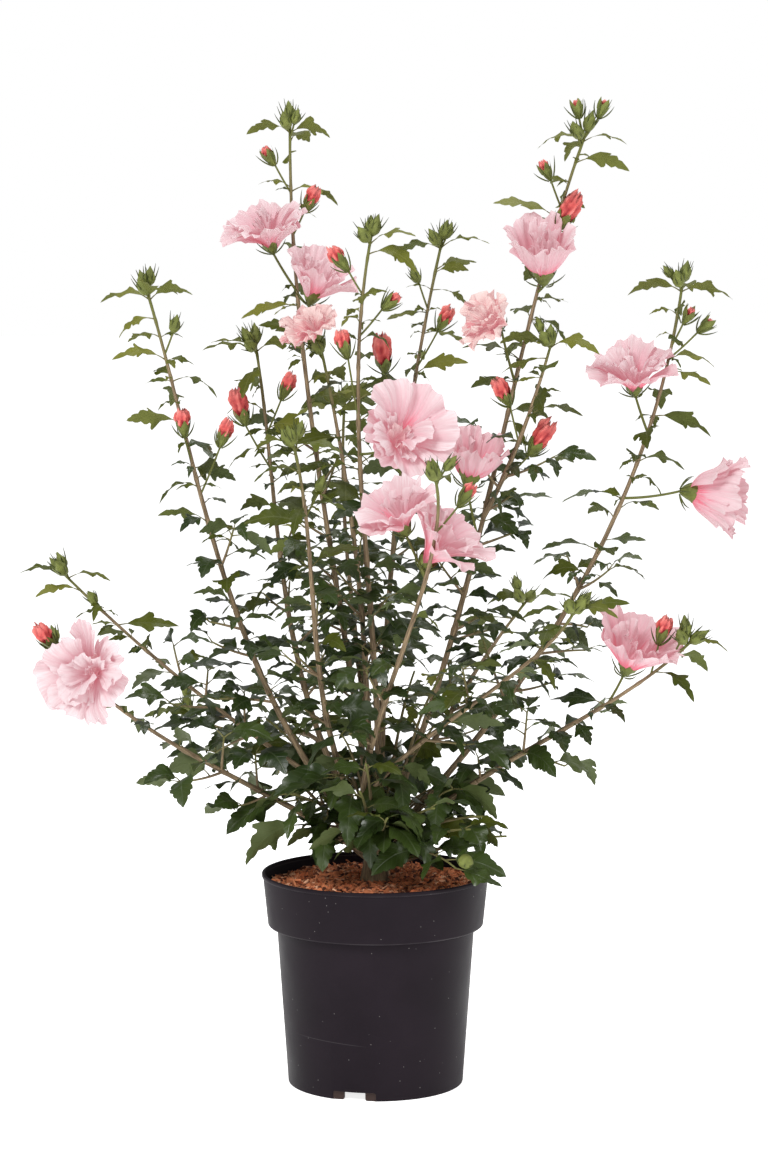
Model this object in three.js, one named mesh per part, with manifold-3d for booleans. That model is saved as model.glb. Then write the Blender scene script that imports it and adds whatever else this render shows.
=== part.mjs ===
// A potted rose of Sharon, grown as an open shrub of many stems with double pink flowers.
// Millimetres, +Z up. The origin is on the ground under the middle of the pot; -Y is the front.
//
// The pot and its fill stand for themselves. A short trunk forks just above the fill into
// boughs. Each bough ends where its leafy shoot begins, and a shoot carries its twigs, leaves,
// buds and flowers fused to one stem. Leafy basal shoots fill the foot of the crown.
import * as THREE from "three";
import { mergeVertices } from "three/addons/utils/BufferGeometryUtils.js";
import Module from "manifold-3d";

const wasm = await Module();
wasm.setup();
const { Manifold, Mesh } = wasm;

// Clearance between two neighbouring solids.
const GAP = 0.3;
// Corners that stand out less than this are smoothed away where pieces are fused.
const SLIVER = 0.02;
// A leaf, twig or flower is dropped when it comes nearer than this to another solid.
const CLEAR = 0.6;

// ---------------------------------------------------------------- pot and fill
const POT = {
  height: 218,
  lipRadius: 116,
  lipDepth: 4,
  lipProud: 0.8,
  lipRound: 1,
  bandRadius: 110.5,
  bandHeight: 54,
  shoulderRadius: 101.5,
  footRadius: 90,
  wall: 2.2,
  footWall: 7,
  floorLow: 10,
  floorHigh: 12.5,
  segments: 36,
};
// Three notches let water out under the foot; a shallow recess flanks each one.
const NOTCH = { count: 3, first: -102.7, width: 22, height: 9, reach: 30 };
const RECESS = { width: 46, depth: 4.2 };
const SOIL = { level: 208, edgeDrop: 3, slopeStart: 0.6, seat: 22 };

// ---------------------------------------------------------------- stems
const TRUNK = {
  foot: [0, 0, SOIL.level + GAP],
  knee: [0, 0, 240],
  top: [1, 1, 268],
  radius: 11,
  flare: 6,
  knuckle: 1.6,
  sides: 10,
  steps: 8,
};
// Steps are the lengths of a stem's facets. Forked stems bend more, so theirs are short.
const STEM = {
  footRadius: 3.9,
  forkShare: 0.75,
  tipRadius: 1.4,
  sides: 5,
  boughStep: 44,
  shootStep: 62,
  forkStep: 40,
};

// Each stem is a cubic curve: foot, two knees and tip. A stem that forks off another one gives
// that stem and the place along it in place of a foot. bare is the share of the stem that is
// bough; the rest is leafy shoot.
const STEMS = {
  low_left: {
    foot: [-3, -2, 228],
    knees: [[-100, -23, 314], [-213, -47, 336]],
    tip: [-318, -74, 454],
    bare: 0.34,
  },
  left_tall: {
    foot: [-2, -2, 240],
    knees: [[-153, -20, 410], [-173, -40, 626]],
    tip: [-226, -60, 812],
    bare: 0.28,
  },
  left_inner: {
    foot: [-3, 3, 252],
    knees: [[-106, 22, 392], [-97, 47, 595]],
    tip: [-124, 70, 756],
    bare: 0.3,
  },
  front_left: {
    foot: [-2, -4, 250],
    knees: [[-79, -62, 383], [-49, -127, 540]],
    tip: [-78, -190, 668],
    bare: 0.3,
  },
  tall_left: {
    foot: [-3, 7, 262],
    knees: [[-34, 39, 505], [-91, 77, 741]],
    tip: [-89, 115, 985],
    bare: 0.27,
  },
  mid_left: {
    foot: [-7, -1, 262],
    knees: [[-4, 10, 431], [-20, 20, 593]],
    tip: [-55, 30, 750],
    bare: 0.32,
  },
  middle: {
    foot: [1, -6, 262],
    knees: [[12, -17, 474], [-41, -33, 673]],
    tip: [-4, -50, 867],
    bare: 0.28,
  },
  back_right_tall: {
    foot: [6, 4, 262],
    knees: [[4, 70, 461], [24, 140, 660]],
    tip: [71, 210, 864],
    bare: 0.28,
  },
  front: {
    foot: [-1, -3, 236],
    knees: [[-55, -53, 318], [80, -198, 541]],
    tip: [57, -256, 638],
    bare: 0.34,
  },
  tall_right: {
    foot: [4, 0, 254],
    knees: [[114, 17, 494], [130, 33, 742]],
    tip: [215, 50, 973],
    bare: 0.27,
  },
  right_tall: {
    foot: [2, 0, 240],
    knees: [[172, 0, 417], [282, 0, 602]],
    tip: [310, 0, 821],
    bare: 0.28,
  },
  low_right: {
    foot: [2, -2, 228],
    knees: [[100, -23, 338], [229, -47, 377]],
    tip: [314, -70, 463],
    bare: 0.32,
  },
  back_right: {
    foot: [2, 3, 244],
    knees: [[57, 81, 335], [101, 160, 406]],
    tip: [165, 248, 471],
    bare: 0.34,
  },
  back_middle: {
    foot: [0, 6, 250],
    knees: [[-6, 84, 380], [-44, 166, 530]],
    tip: [-34, 226, 690],
    bare: 0.3,
  },
  left_fan: {
    from: "left_tall",
    at: 0.14,
    knees: [[-140, 20, 365], [-224, 40, 423]],
    tip: [-323, 60, 519],
    bare: 0.26,
  },
  left_short: {
    from: "left_inner",
    at: 0.2,
    knees: [[-80, 120, 368], [-121, 140, 314]],
    tip: [-207, 235, 349],
    bare: 0.3,
  },
  front_right: {
    from: "front",
    at: 0.17,
    knees: [[10, -70, 360], [164, -144, 441]],
    tip: [191, -190, 507],
    bare: 0.34,
  },
  right_inner: {
    from: "tall_right",
    at: 0.45,
    knees: [[140, -5, 640], [159, -27, 698]],
    tip: [175, -40, 758],
    bare: 0.16,
  },
};

// ---------------------------------------------------------------- leaves and growth
// Rows of a leaf from root to tip: place along it and half width, as shares of its length.
const LEAF_ROWS = [
  { along: 0, half: 0 },
  { along: 0.5, half: 0.27 },
  { along: 0.7, half: 0.14 },
  { along: 1, half: 0 },
];
// rise and droop are its slopes before and past its knee; the sways are what they vary by. spread
// is how near two leaves' middles may lie and offStem how near a stem, as shares of the length.
const LEAF = {
  thick: 1.6,
  fold: 0.25,
  knee: 0.45,
  rise: 38,
  riseSway: 10,
  droop: -32,
  droopSway: 14,
  middle: 0.6,
  spread: 0.52,
  offStem: 0.34,
  headroom: 2,
};

// Growth along a shoot: one leaf at each node, a smaller one across from most, and short leafy
// twigs in place of leaves near its foot. Successive nodes turn by the golden angle.
const GROWTH = {
  turn: 137.5,
  lean: 0.5,
  firstNode: 16,
  lastNode: 10,
  spacing: [37, 45],
  openUp: 0.5,
  leaf: [58, 74],
  small: [36, 50],
  smallChance: 0.45,
  smallSway: 0.7,
  twigShare: 0.4,
  twigChance: 0.6,
  tipTaper: 0.42,
};
// A side twig leans on along its stem and up; onward is the share of a full leaf that its end
// bears, and flanks are the places of its two small leaves.
const TWIG = {
  length: [34, 60],
  radius: [1.5, 0.9],
  lean: 0.7,
  lift: 0.3,
  sag: 0.08,
  end: 0.97,
  onward: 0.85,
  flanks: [0.6, 0.75],
  flankSway: 0.5,
};
const TIP = {
  place: 0.985,
  turn: 180,
  swing: 25,
  leaves: 2,
  leaf: [58, 72],
  stalk: [5, 8],
  budRise: [35, 50],
};

// Where each shoot's row of random numbers starts.
const SEED = { tip: 106, shoot: 401, basal: 701, step: 7 };

// Basal shoots leave the trunk all round, the steep ones longer than the flat ones.
const BASAL = {
  count: 14,
  heights: [216, 244],
  elevations: [16, 72],
  lengths: [140, 215],
  spacing: [20, 26],
  leaf: [66, 86],
  radius: [2.4, 1.1],
  sides: 4,
  steps: 5,
  firstLeaf: 14,
  swings: [0, 28, -28, 56, -56],
  riseStep: 0.618,
  turnStep: 7,
  tries: 26,
};

// ---------------------------------------------------------------- flowers and buds
// A flower or bud sits on a stalk: on names its stem and at the place along it; stalk is the
// stalk's length, toward its heading and rise in degrees, face the way the head looks.
const FLOWERS = [
  { on: "low_left", at: 0.92, stalk: 22, toward: [-85, 42], face: [-105, 10], width: 98, depth: 34 },
  { on: "tall_left", at: 0.76, stalk: 46, toward: [-145, 58], face: [-130, 62], width: 90, depth: 34 },
  { on: "tall_left", at: 0.7, stalk: 45, toward: [-58, 51], face: [-85, 58], width: 66, depth: 42 },
  { on: "mid_left", at: 1, stalk: 13, toward: [-122, 56], face: [-125, 55], width: 62, depth: 24 },
  { on: "middle", at: 0.63, stalk: 84, toward: [-50, 16], face: [-100, 14], width: 102, depth: 36 },
  { on: "tall_right", at: 0.42, stalk: 54, toward: [-140, 64], face: [-60, 68], width: 54, depth: 48 },
  { on: "front", at: 0.74, stalk: 42, toward: [165, 55], face: [-122, 50], width: 82, depth: 36 },
  { on: "front", at: 0.77, stalk: 14, toward: [60, 30], face: [-12, 34], width: 58, depth: 62 },
  { on: "tall_right", at: 0.78, stalk: 12, toward: [-106, 29], face: [-90, 75], width: 68, depth: 52 },
  { on: "tall_right", at: 0.64, stalk: 44, toward: [-121, 68], face: [-160, 50], width: 54, depth: 34 },
  { on: "right_tall", at: 0.76, stalk: 41, toward: [-157, 69], face: [-170, 80], width: 92, depth: 38 },
  { on: "right_tall", at: 0.65, stalk: 60, toward: [-13, -2], face: [-8, 2], width: 74, depth: 57 },
  { on: "low_right", at: 0.72, stalk: 40, toward: [58, 49], face: [25, 58], width: 70, depth: 56 },
];
// A double flower's head: [share of its half width, share of its depth] from the calyx round its
// rim to its raised middle, with a rim of five waves.
const HEAD = {
  calyx: [6, 5],
  rows: [[0.5, 0.45], [1, 1], [0.5, 1.14], [0, 1.24]],
  segments: 8,
  waves: 5,
  waveTurn: 0.6,
  waveSize: 0.1,
  waveLift: 0.8,
  middle: 0.6,
};
// [radius, height] rows of a bud. Opening buds show a coral tip; the others are still green.
const OPENING = { rows: [[6, 7], [5, 19], [0, 26]], sides: 5 };
const GREEN = { rows: [[4.3, 4.5], [0, 14.5]], sides: 4 };
const STALK = { flower: [1.4, 1.2], sag: 0.06, bud: 1.1, sunk: 1.5, room: 30 };
const BUDS = [
  { on: "tall_left", at: 0.84, stalk: 27, toward: [-27, 61], open: true },
  { on: "tall_left", at: 0.9, stalk: 34, toward: [-151, 57] },
  { on: "middle", at: 0.9, stalk: 28, toward: [154, 56], open: true },
  { on: "middle", at: 0.69, stalk: 62, toward: [-129, 75], open: true },
  { on: "middle", at: 0.83, stalk: 36, toward: [-21, 48] },
  { on: "back_right_tall", at: 0.88, stalk: 30, toward: [-144, 67] },
  { on: "back_right_tall", at: 0.78, stalk: 44, toward: [-18, 59], open: true },
  { on: "back_right_tall", at: 0.65, stalk: 80, toward: [-140, 69], open: true },
  { on: "tall_right", at: 0.89, stalk: 30, toward: [-148, 65] },
  { on: "tall_right", at: 0.85, stalk: 20, toward: [-24, 20], open: true },
  { on: "right_inner", at: 0.45, stalk: 38, toward: [-144, 73], open: true },
  { on: "right_inner", at: 0.21, stalk: 42, toward: [-16, 44], open: true },
  { on: "front", at: 0.85, stalk: 32, toward: [15, 48] },
  { on: "left_inner", at: 0.75, stalk: 52, toward: [-160, 59], open: true },
  { on: "left_inner", at: 0.82, stalk: 38, toward: [-32, 63], open: true },
  { on: "left_tall", at: 0.65, stalk: 52, toward: [-20, 66], open: true },
  { on: "left_tall", at: 0.7, stalk: 30, toward: [-140, 70], open: true },
  { on: "left_tall", at: 0.89, stalk: 24, toward: [-33, 65] },
  { on: "front_left", at: 0.82, stalk: 26, toward: [-25, 60] },
  { on: "left_fan", at: 0.86, stalk: 14, toward: [-129, 41] },
  { on: "low_left", at: 0.99, stalk: 16, toward: [-170, 40], open: true },
  { on: "right_tall", at: 0.9, stalk: 26, toward: [-35, 60] },
  { on: "right_tall", at: 0.88, stalk: 40, toward: [7, 42] },
  { on: "low_right", at: 0.86, stalk: 32, toward: [-37, 74], open: true },
  { on: "low_right", at: 0.93, stalk: 22, toward: [-31, 61] },
];

// ---------------------------------------------------------------- colours
const PAINT = {
  pot: new THREE.MeshStandardMaterial({ color: 0x2b272b, roughness: 0.55, metalness: 0 }),
  fill: new THREE.MeshStandardMaterial({ color: 0x7a4a30, roughness: 0.95, metalness: 0 }),
  bark: new THREE.MeshStandardMaterial({ color: 0x8d7a62, roughness: 0.85, metalness: 0 }),
  leaf: new THREE.MeshStandardMaterial({ color: 0x35582c, roughness: 0.6, metalness: 0 }),
};

const UP = new THREE.Vector3(0, 0, 1);
const DEPTH = new THREE.Vector3(0, 1, 0);
const plant = new THREE.Group();

function radians(degrees) {
  return THREE.MathUtils.degToRad(degrees);
}

// The unit vector at a heading (from +X, turning to +Y) and a rise above the level.
function heading(turn, rise) {
  const flat = Math.cos(radians(rise));
  return new THREE.Vector3(
    flat * Math.cos(radians(turn)),
    flat * Math.sin(radians(turn)),
    Math.sin(radians(rise)),
  );
}

// A source of even numbers from 0 to 1 that gives the same row for the same seed.
function makeRandom(seed) {
  let state = seed;
  return (low = 0, high = 1) => {
    state = (state * 48271) % 2147483647;
    return low + ((high - low) * state) / 2147483647;
  };
}

function solid(geometry) {
  geometry.deleteAttribute("normal");
  geometry.deleteAttribute("uv");
  const merged = mergeVertices(geometry, 1e-4);
  const vertProperties = new Float32Array(merged.attributes.position.array);
  const triVerts = new Uint32Array(merged.index.array);
  return new Manifold(new Mesh({ numProp: 3, vertProperties, triVerts }));
}

function addNode(name, body, material) {
  const { vertProperties, triVerts } = body.getMesh();
  const geometry = new THREE.BufferGeometry();
  geometry.setAttribute("position", new THREE.BufferAttribute(vertProperties, 3));
  geometry.setIndex(new THREE.BufferAttribute(triVerts, 1));
  geometry.computeVertexNormals();
  const mesh = new THREE.Mesh(geometry, material.clone());
  mesh.name = name;
  plant.add(mesh);
}

// A solid of revolution about Z from [radius, height] pairs that start and end on the axis.
function turned(profile, segments) {
  const points = profile.map(([radius, height]) => new THREE.Vector2(radius, height));
  const geometry = new THREE.LatheGeometry(points, segments);
  geometry.rotateX(Math.PI / 2);
  return geometry;
}

// ---------------------------------------------------------------- pot and fill
// Radius of the pot's inner wall at a height, under the band and in it.
function innerRadius(height) {
  const { bandHeight, shoulderRadius, footRadius, bandRadius, lipRadius, wall } = POT;
  const step = POT.height - bandHeight;
  if (height < step) {
    return footRadius - wall + ((shoulderRadius - footRadius) * height) / step;
  }
  return bandRadius - wall + ((lipRadius - bandRadius) * (height - step)) / bandHeight;
}

function makePot() {
  const { height, bandHeight, footRadius, wall, floorLow, floorHigh } = POT;
  const step = height - bandHeight;
  const lipLow = height - POT.lipDepth;
  const ledge = step + wall;
  const profile = [
    [0, floorLow],
    [footRadius - POT.footWall, floorLow],
    [footRadius - POT.footWall, 0],
    [footRadius, 0],
    [POT.shoulderRadius, step],
    [POT.bandRadius, step],
    [innerRadius(lipLow) + wall, lipLow],
    [POT.lipRadius + POT.lipProud, lipLow],
    [POT.lipRadius + POT.lipProud, height - POT.lipRound],
    [POT.lipRadius + POT.lipProud - POT.lipRound, height],
    [innerRadius(height), height],
    [innerRadius(ledge), ledge],
    [POT.shoulderRadius - wall, ledge],
    [innerRadius(floorHigh), floorHigh],
    [0, floorHigh],
  ];
  const cuts = [];
  for (let i = 0; i < NOTCH.count; i++) {
    const turn = radians(NOTCH.first + (360 / NOTCH.count) * i);
    const gate = new THREE.BoxGeometry(NOTCH.reach, NOTCH.width, 2 * NOTCH.height);
    gate.translate(footRadius, 0, 0);
    const recess = new THREE.BoxGeometry(NOTCH.reach, RECESS.width, 2 * NOTCH.height);
    recess.translate(footRadius - RECESS.depth + NOTCH.reach / 2, 0, 0);
    cuts.push(solid(gate.rotateZ(turn)), solid(recess.rotateZ(turn)));
  }
  return solid(turned(profile, POT.segments)).subtract(Manifold.union(cuts));
}

function makeSoil() {
  const step = POT.height - POT.bandHeight;
  const bottom = POT.floorHigh + GAP;
  const edge = SOIL.level - SOIL.edgeDrop;
  const ledge = step + POT.wall + GAP;
  const profile = [
    [0, bottom],
    [innerRadius(bottom) - GAP, bottom],
    [POT.shoulderRadius - POT.wall - GAP, ledge],
    [innerRadius(ledge) - GAP, ledge],
    [innerRadius(edge) - GAP, edge],
    [SOIL.slopeStart * innerRadius(edge), SOIL.level],
    [SOIL.seat, SOIL.level],
    [0, SOIL.level],
  ];
  return solid(turned(profile, POT.segments));
}

// ---------------------------------------------------------------- limbs
// Across a curve at a share of its way: its middle, and two unit vectors square to it.
function across(curve, share) {
  const middle = curve.getPoint(share);
  const along = curve.getTangent(THREE.MathUtils.clamp(share, 0, 1));
  const out = new THREE.Vector3().crossVectors(DEPTH, along).normalize();
  const side = new THREE.Vector3().crossVectors(out, along);
  return { middle, along, out, side };
}

// A round limb from one share of a curve to another; radius(share) is its radius there.
function limb(curve, from, to, radius, sides, steps) {
  const geometry = new THREE.CylinderGeometry(1, 1, 1, sides, steps);
  const corners = geometry.attributes.position;
  for (let i = 0; i < corners.count; i++) {
    const share = from + (to - from) * (corners.getY(i) + 0.5);
    const { middle, out, side } = across(curve, share);
    middle.addScaledVector(out, corners.getX(i) * radius(share));
    middle.addScaledVector(side, corners.getZ(i) * radius(share));
    corners.setXYZ(i, middle.x, middle.y, middle.z);
  }
  return solid(geometry);
}

function makeCurve(points) {
  const corners = points.map((point) => new THREE.Vector3(...point));
  return new THREE.CubicBezierCurve3(...corners);
}

function trunkLimb(extra) {
  const corners = [TRUNK.foot, TRUNK.knee, TRUNK.top].map((point) => new THREE.Vector3(...point));
  const curve = new THREE.QuadraticBezierCurve3(...corners);
  const over = extra / curve.getLength();
  const radius = (share) => {
    const flare = TRUNK.flare * (1 - share) ** 4;
    const knuckle = TRUNK.knuckle * Math.sin(Math.PI * share ** 3);
    return TRUNK.radius + flare + knuckle + extra;
  };
  return limb(curve, -over, 1 + over, radius, TRUNK.sides, TRUNK.steps);
}

function stemRadius(stem, share) {
  const foot = STEM.footRadius * (stem.from ? STEM.forkShare : 1);
  return foot + (STEM.tipRadius - foot) * share;
}

function stemLimb(stem, from, to, extra, step) {
  const steps = Math.max(2, Math.round(((to - from) * stem.length) / step));
  const over = extra / stem.length;
  const radius = (share) => stemRadius(stem, share) + extra;
  return limb(stem.curve, from - over, to + over, radius, STEM.sides, steps);
}

// ---------------------------------------------------------------- what stands where
// Every placed piece, so that a new one can be held clear of those of other nodes.
const placed = [];
// The middles of the leaves and flowers that each node already has, with their lengths.
const leafSpots = {};

function place(node, piece) {
  placed.push({ node, piece, box: piece.boundingBox() });
  return piece;
}

function isCrowded(node, spot, length) {
  const spots = leafSpots[node] ?? [];
  return spots.some((other) => spot.distanceTo(other.spot) < (LEAF.spread * (length + other.length)) / 2);
}

function fillSpot(node, spot, length) {
  leafSpots[node] = [...(leafSpots[node] ?? []), { spot, length }];
}

function boxesMeet(a, b, margin) {
  const meetsOn = (axis) => a.min[axis] < b.max[axis] + margin && b.min[axis] < a.max[axis] + margin;
  return [0, 1, 2].every(meetsOn);
}

function isClear(node, piece) {
  const box = piece.boundingBox();
  return placed.every((other) => {
    if (other.node === node || !boxesMeet(box, other.box, CLEAR)) {
      return true;
    }
    return piece.minGap(other.piece, CLEAR) >= CLEAR;
  });
}

// The largest body left of a limb after the limbs already there are cut from it.
function cutClear(limbSolid, others) {
  const pieces = limbSolid.subtract(Manifold.union(others)).decompose();
  pieces.sort((a, b) => b.volume() - a.volume());
  return pieces[0];
}

// ---------------------------------------------------------------- leaves
// The middle line of a leaf: out from its root at a rise, then over a knee and down to its tip.
function leafSpine(root, flat, length, rise, droop) {
  const bend = (angle, share) =>
    flat.clone().multiplyScalar(Math.cos(radians(angle)) * share * length)
      .addScaledVector(UP, Math.sin(radians(angle)) * share * length);
  const knee = root.clone().add(bend(rise, LEAF.knee));
  const tip = knee.clone().add(bend(droop, 1 - LEAF.knee));
  return new THREE.QuadraticBezierCurve3(root, knee, tip);
}

// A leaf: a three-sided ball drawn out along its middle line. One pole is the root, sunk in the
// stem, the other the tip; the two rings between them spread to the side lobes over a keel.
function leaf(spine, flat, length) {
  const side = new THREE.Vector3().crossVectors(UP, flat);
  const lastRow = LEAF_ROWS.length - 1;
  const geometry = new THREE.SphereGeometry(1, 3, lastRow);
  const corners = geometry.attributes.position;
  for (let i = 0; i < corners.count; i++) {
    const polar = Math.acos(THREE.MathUtils.clamp(-corners.getY(i), -1, 1));
    const row = LEAF_ROWS[Math.round((polar / Math.PI) * lastRow)];
    const hand = Math.sign(Math.round(corners.getZ(i)));
    const half = row.half * length * hand;
    const lift = hand ? LEAF.fold * Math.abs(half) : -LEAF.thick;
    const spot = spine.getPoint(row.along);
    spot.addScaledVector(side, half).addScaledVector(UP, row.half > 0 ? lift : 0);
    corners.setXYZ(i, spot.x, spot.y, spot.z);
  }
  return solid(geometry);
}

// ---------------------------------------------------------------- heads on stalks
// A turned head with its base at a point, looking along a direction.
function head(geometry, base, direction) {
  geometry.applyQuaternion(new THREE.Quaternion().setFromUnitVectors(UP, direction));
  geometry.translate(base.x, base.y, base.z);
  return solid(geometry);
}

// A double flower: a cup on its green calyx, its rim waved, its middle crowded and raised.
function flowerHead(base, direction, width, depth) {
  const half = width / 2;
  const rows = HEAD.rows.map(([across, up]) => [across * half, up * depth]);
  const geometry = turned([[0, 0], HEAD.calyx, ...rows], HEAD.segments);
  const corners = geometry.attributes.position;
  for (let i = 0; i < corners.count; i++) {
    const reach = Math.hypot(corners.getX(i), corners.getY(i)) / half;
    const turn = Math.atan2(corners.getY(i), corners.getX(i));
    const wave = reach * reach * HEAD.waveSize * Math.sin(HEAD.waves * turn + HEAD.waveTurn);
    const lift = 1 - HEAD.waveLift * wave;
    corners.setXYZ(i, corners.getX(i) * (1 + wave), corners.getY(i) * (1 + wave), corners.getZ(i) * lift);
  }
  return head(geometry, base, direction);
}

// A slim three-sided twig or stalk from one point to another, bowed by way of a knee.
function twig(from, knee, to, thick, thin) {
  const curve = new THREE.QuadraticBezierCurve3(from, knee, to);
  return limb(curve, 0, 1, (share) => thick + (thin - thick) * share, 3, 2);
}

function addFlower(shoot, spec) {
  const start = shoot.curve.getPoint(spec.at);
  const direction = heading(...spec.toward);
  const end = start.clone().addScaledVector(direction, spec.stalk);
  const knee = start.clone().addScaledVector(direction, spec.stalk / 2);
  knee.z -= STALK.sag * spec.stalk;
  const base = end.clone().addScaledVector(direction, -STALK.sunk);
  shoot.parts.push(place(shoot.node, twig(start, knee, end, ...STALK.flower)));
  shoot.parts.push(place(shoot.node, flowerHead(base, heading(...spec.face), spec.width, spec.depth)));
  const middle = base.addScaledVector(heading(...spec.face), HEAD.middle * spec.depth);
  fillSpot(shoot.node, middle, LEAF.headroom * spec.width);
}

// A bud and its straight stalk, turned as one.
function bud(start, direction, stalk, { rows, sides }) {
  const profile = stalk > 0 ? [[0, 0], [STALK.bud, 0], [STALK.bud, stalk]] : [[0, -STALK.sunk]];
  rows.forEach(([radius, height]) => profile.push([radius, stalk + height]));
  return head(turned(profile, sides), start, direction);
}

// ---------------------------------------------------------------- growth
function keepIfClear(shoot, piece) {
  if (!isClear(shoot.node, piece)) {
    return false;
  }
  shoot.parts.push(place(shoot.node, piece));
  return true;
}

// A leaf on a stem, unless it would lie along the stem or crowd its neighbours.
function growLeafToward(shoot, spot, along, flat, length, random) {
  const rise = LEAF.rise + random(-LEAF.riseSway, LEAF.riseSway);
  const droop = LEAF.droop + random(-LEAF.droopSway, LEAF.droopSway);
  const spine = leafSpine(spot, flat, length, rise, droop);
  const middle = spine.getPoint(LEAF.middle);
  const besideStem = middle.clone().sub(spot).cross(along).length();
  if (besideStem < LEAF.offStem * length || isCrowded(shoot.node, middle, length)) {
    return false;
  }
  const isKept = keepIfClear(shoot, leaf(spine, flat, length));
  if (isKept) {
    fillSpot(shoot.node, middle, length);
  }
  return isKept;
}

// A leaf at a stem's node, turned round the stem and leaning on along it. Where its place is
// taken it swings a little further to either hand.
function growLeaf(shoot, curve, share, turn, length, random) {
  const { middle, along, out, side } = across(curve, share);
  return shoot.swings.some((swing) => {
    const angle = turn + radians(swing);
    const away = out.clone().multiplyScalar(Math.cos(angle)).addScaledVector(side, Math.sin(angle));
    const flat = away.addScaledVector(along, GROWTH.lean).setZ(0).normalize();
    return growLeafToward(shoot, middle, along, flat, length, random);
  });
}

// A short side twig with a leaf on each flank and one on from its end.
function growTwig(shoot, curve, share, turn, length, random) {
  const { middle, along, out, side } = across(curve, share);
  const away = out.multiplyScalar(Math.cos(turn)).addScaledVector(side, Math.sin(turn));
  const aim = away.addScaledVector(along, TWIG.lean).addScaledVector(UP, TWIG.lift).normalize();
  const end = middle.clone().addScaledVector(aim, length);
  const knee = middle.clone().addScaledVector(aim, length / 2).addScaledVector(UP, -TWIG.sag * length);
  if (!keepIfClear(shoot, twig(middle, knee, end, ...TWIG.radius))) {
    return;
  }
  const spine = new THREE.QuadraticBezierCurve3(middle, knee, end);
  const onward = aim.clone().setZ(0).normalize();
  growLeafToward(shoot, spine.getPoint(TWIG.end), UP, onward, TWIG.onward * random(...GROWTH.leaf), random);
  TWIG.flanks.forEach((share, index) => {
    const flank = Math.PI * index + random(-TWIG.flankSway, TWIG.flankSway);
    growLeaf(shoot, spine, share, flank, random(...GROWTH.small), random);
  });
}

function growAlong(shoot, spacing, leafLength, random) {
  const { curve, start: from } = shoot;
  const length = curve.getLength();
  let share = from + GROWTH.firstNode / length;
  let turn = random(0, 360);
  while (share < 1 - GROWTH.lastNode / length) {
    const grownShare = (share - from) / (1 - from);
    const taper = 1 - GROWTH.tipTaper * grownShare * grownShare;
    const angle = radians(turn);
    const twigHere = grownShare < GROWTH.twigShare && random() < GROWTH.twigChance;
    if (twigHere) {
      growTwig(shoot, curve, share, angle, random(...TWIG.length), random);
    } else {
      growLeaf(shoot, curve, share, angle, random(...leafLength) * taper, random);
    }
    if (random() < GROWTH.smallChance * (1 - grownShare)) {
      const opposite = angle + Math.PI + random(-GROWTH.smallSway, GROWTH.smallSway);
      growLeaf(shoot, curve, share, opposite, random(...GROWTH.small) * taper, random);
    }
    share += (random(...spacing) * (1 + GROWTH.openUp * grownShare)) / length;
    turn += GROWTH.turn;
  }
}

// A knot at a shoot's tip: a green bud on from its end, one beside it, and leaves to both hands.
function growTip(shoot, random) {
  const { curve } = shoot;
  const { middle, along } = across(curve, 1);
  const start = TIP.turn + random(-TIP.swing, TIP.swing);
  keepIfClear(shoot, bud(middle, along, 0, GREEN));
  const sideways = heading(start + 90, random(...TIP.budRise));
  keepIfClear(shoot, bud(curve.getPoint(TIP.place), sideways, random(...TIP.stalk), GREEN));
  for (let i = 0; i < TIP.leaves; i++) {
    const flat = heading(start + (360 / TIP.leaves) * i, 0);
    growLeafToward(shoot, curve.getPoint(TIP.place), UP, flat, random(...TIP.leaf), random);
  }
}

// ---------------------------------------------------------------- the shrub, from the ground up
addNode("pot", place("pot", makePot()), PAINT.pot);
addNode("soil", place("soil", makeSoil()), PAINT.fill);
addNode("trunk", place("trunk", trunkLimb(0)), PAINT.bark);

// Boughs and shoot stems first, so that everything that grows on them finds them there.
const swollen = [trunkLimb(GAP)];
const shoots = [];
Object.entries(STEMS).forEach(([name, stem]) => {
  const foot = stem.from ? STEMS[stem.from].curve.getPoint(stem.at).toArray() : stem.foot;
  stem.curve = makeCurve([foot, ...stem.knees, stem.tip]);
  stem.length = stem.curve.getLength();
  const bough = cutClear(stemLimb(stem, 0, stem.bare, 0, STEM.boughStep), swollen);
  swollen.push(stemLimb(stem, 0, stem.bare, GAP, STEM.boughStep));
  addNode(`bough_${name}`, place(`bough_${name}`, bough), PAINT.bark);

  const start = stem.bare + GAP / stem.length;
  const step = stem.from ? STEM.forkStep : STEM.shootStep;
  const shootStem = cutClear(stemLimb(stem, start, 1, 0, step), swollen.slice(0, -1));
  swollen.push(stemLimb(stem, start, 1, GAP, step));
  const shoot = { node: `shoot_${name}`, curve: stem.curve, start, swings: [0], parts: [] };
  shoot.parts.push(place(shoot.node, shootStem));
  shoots.push(shoot);
});

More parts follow.
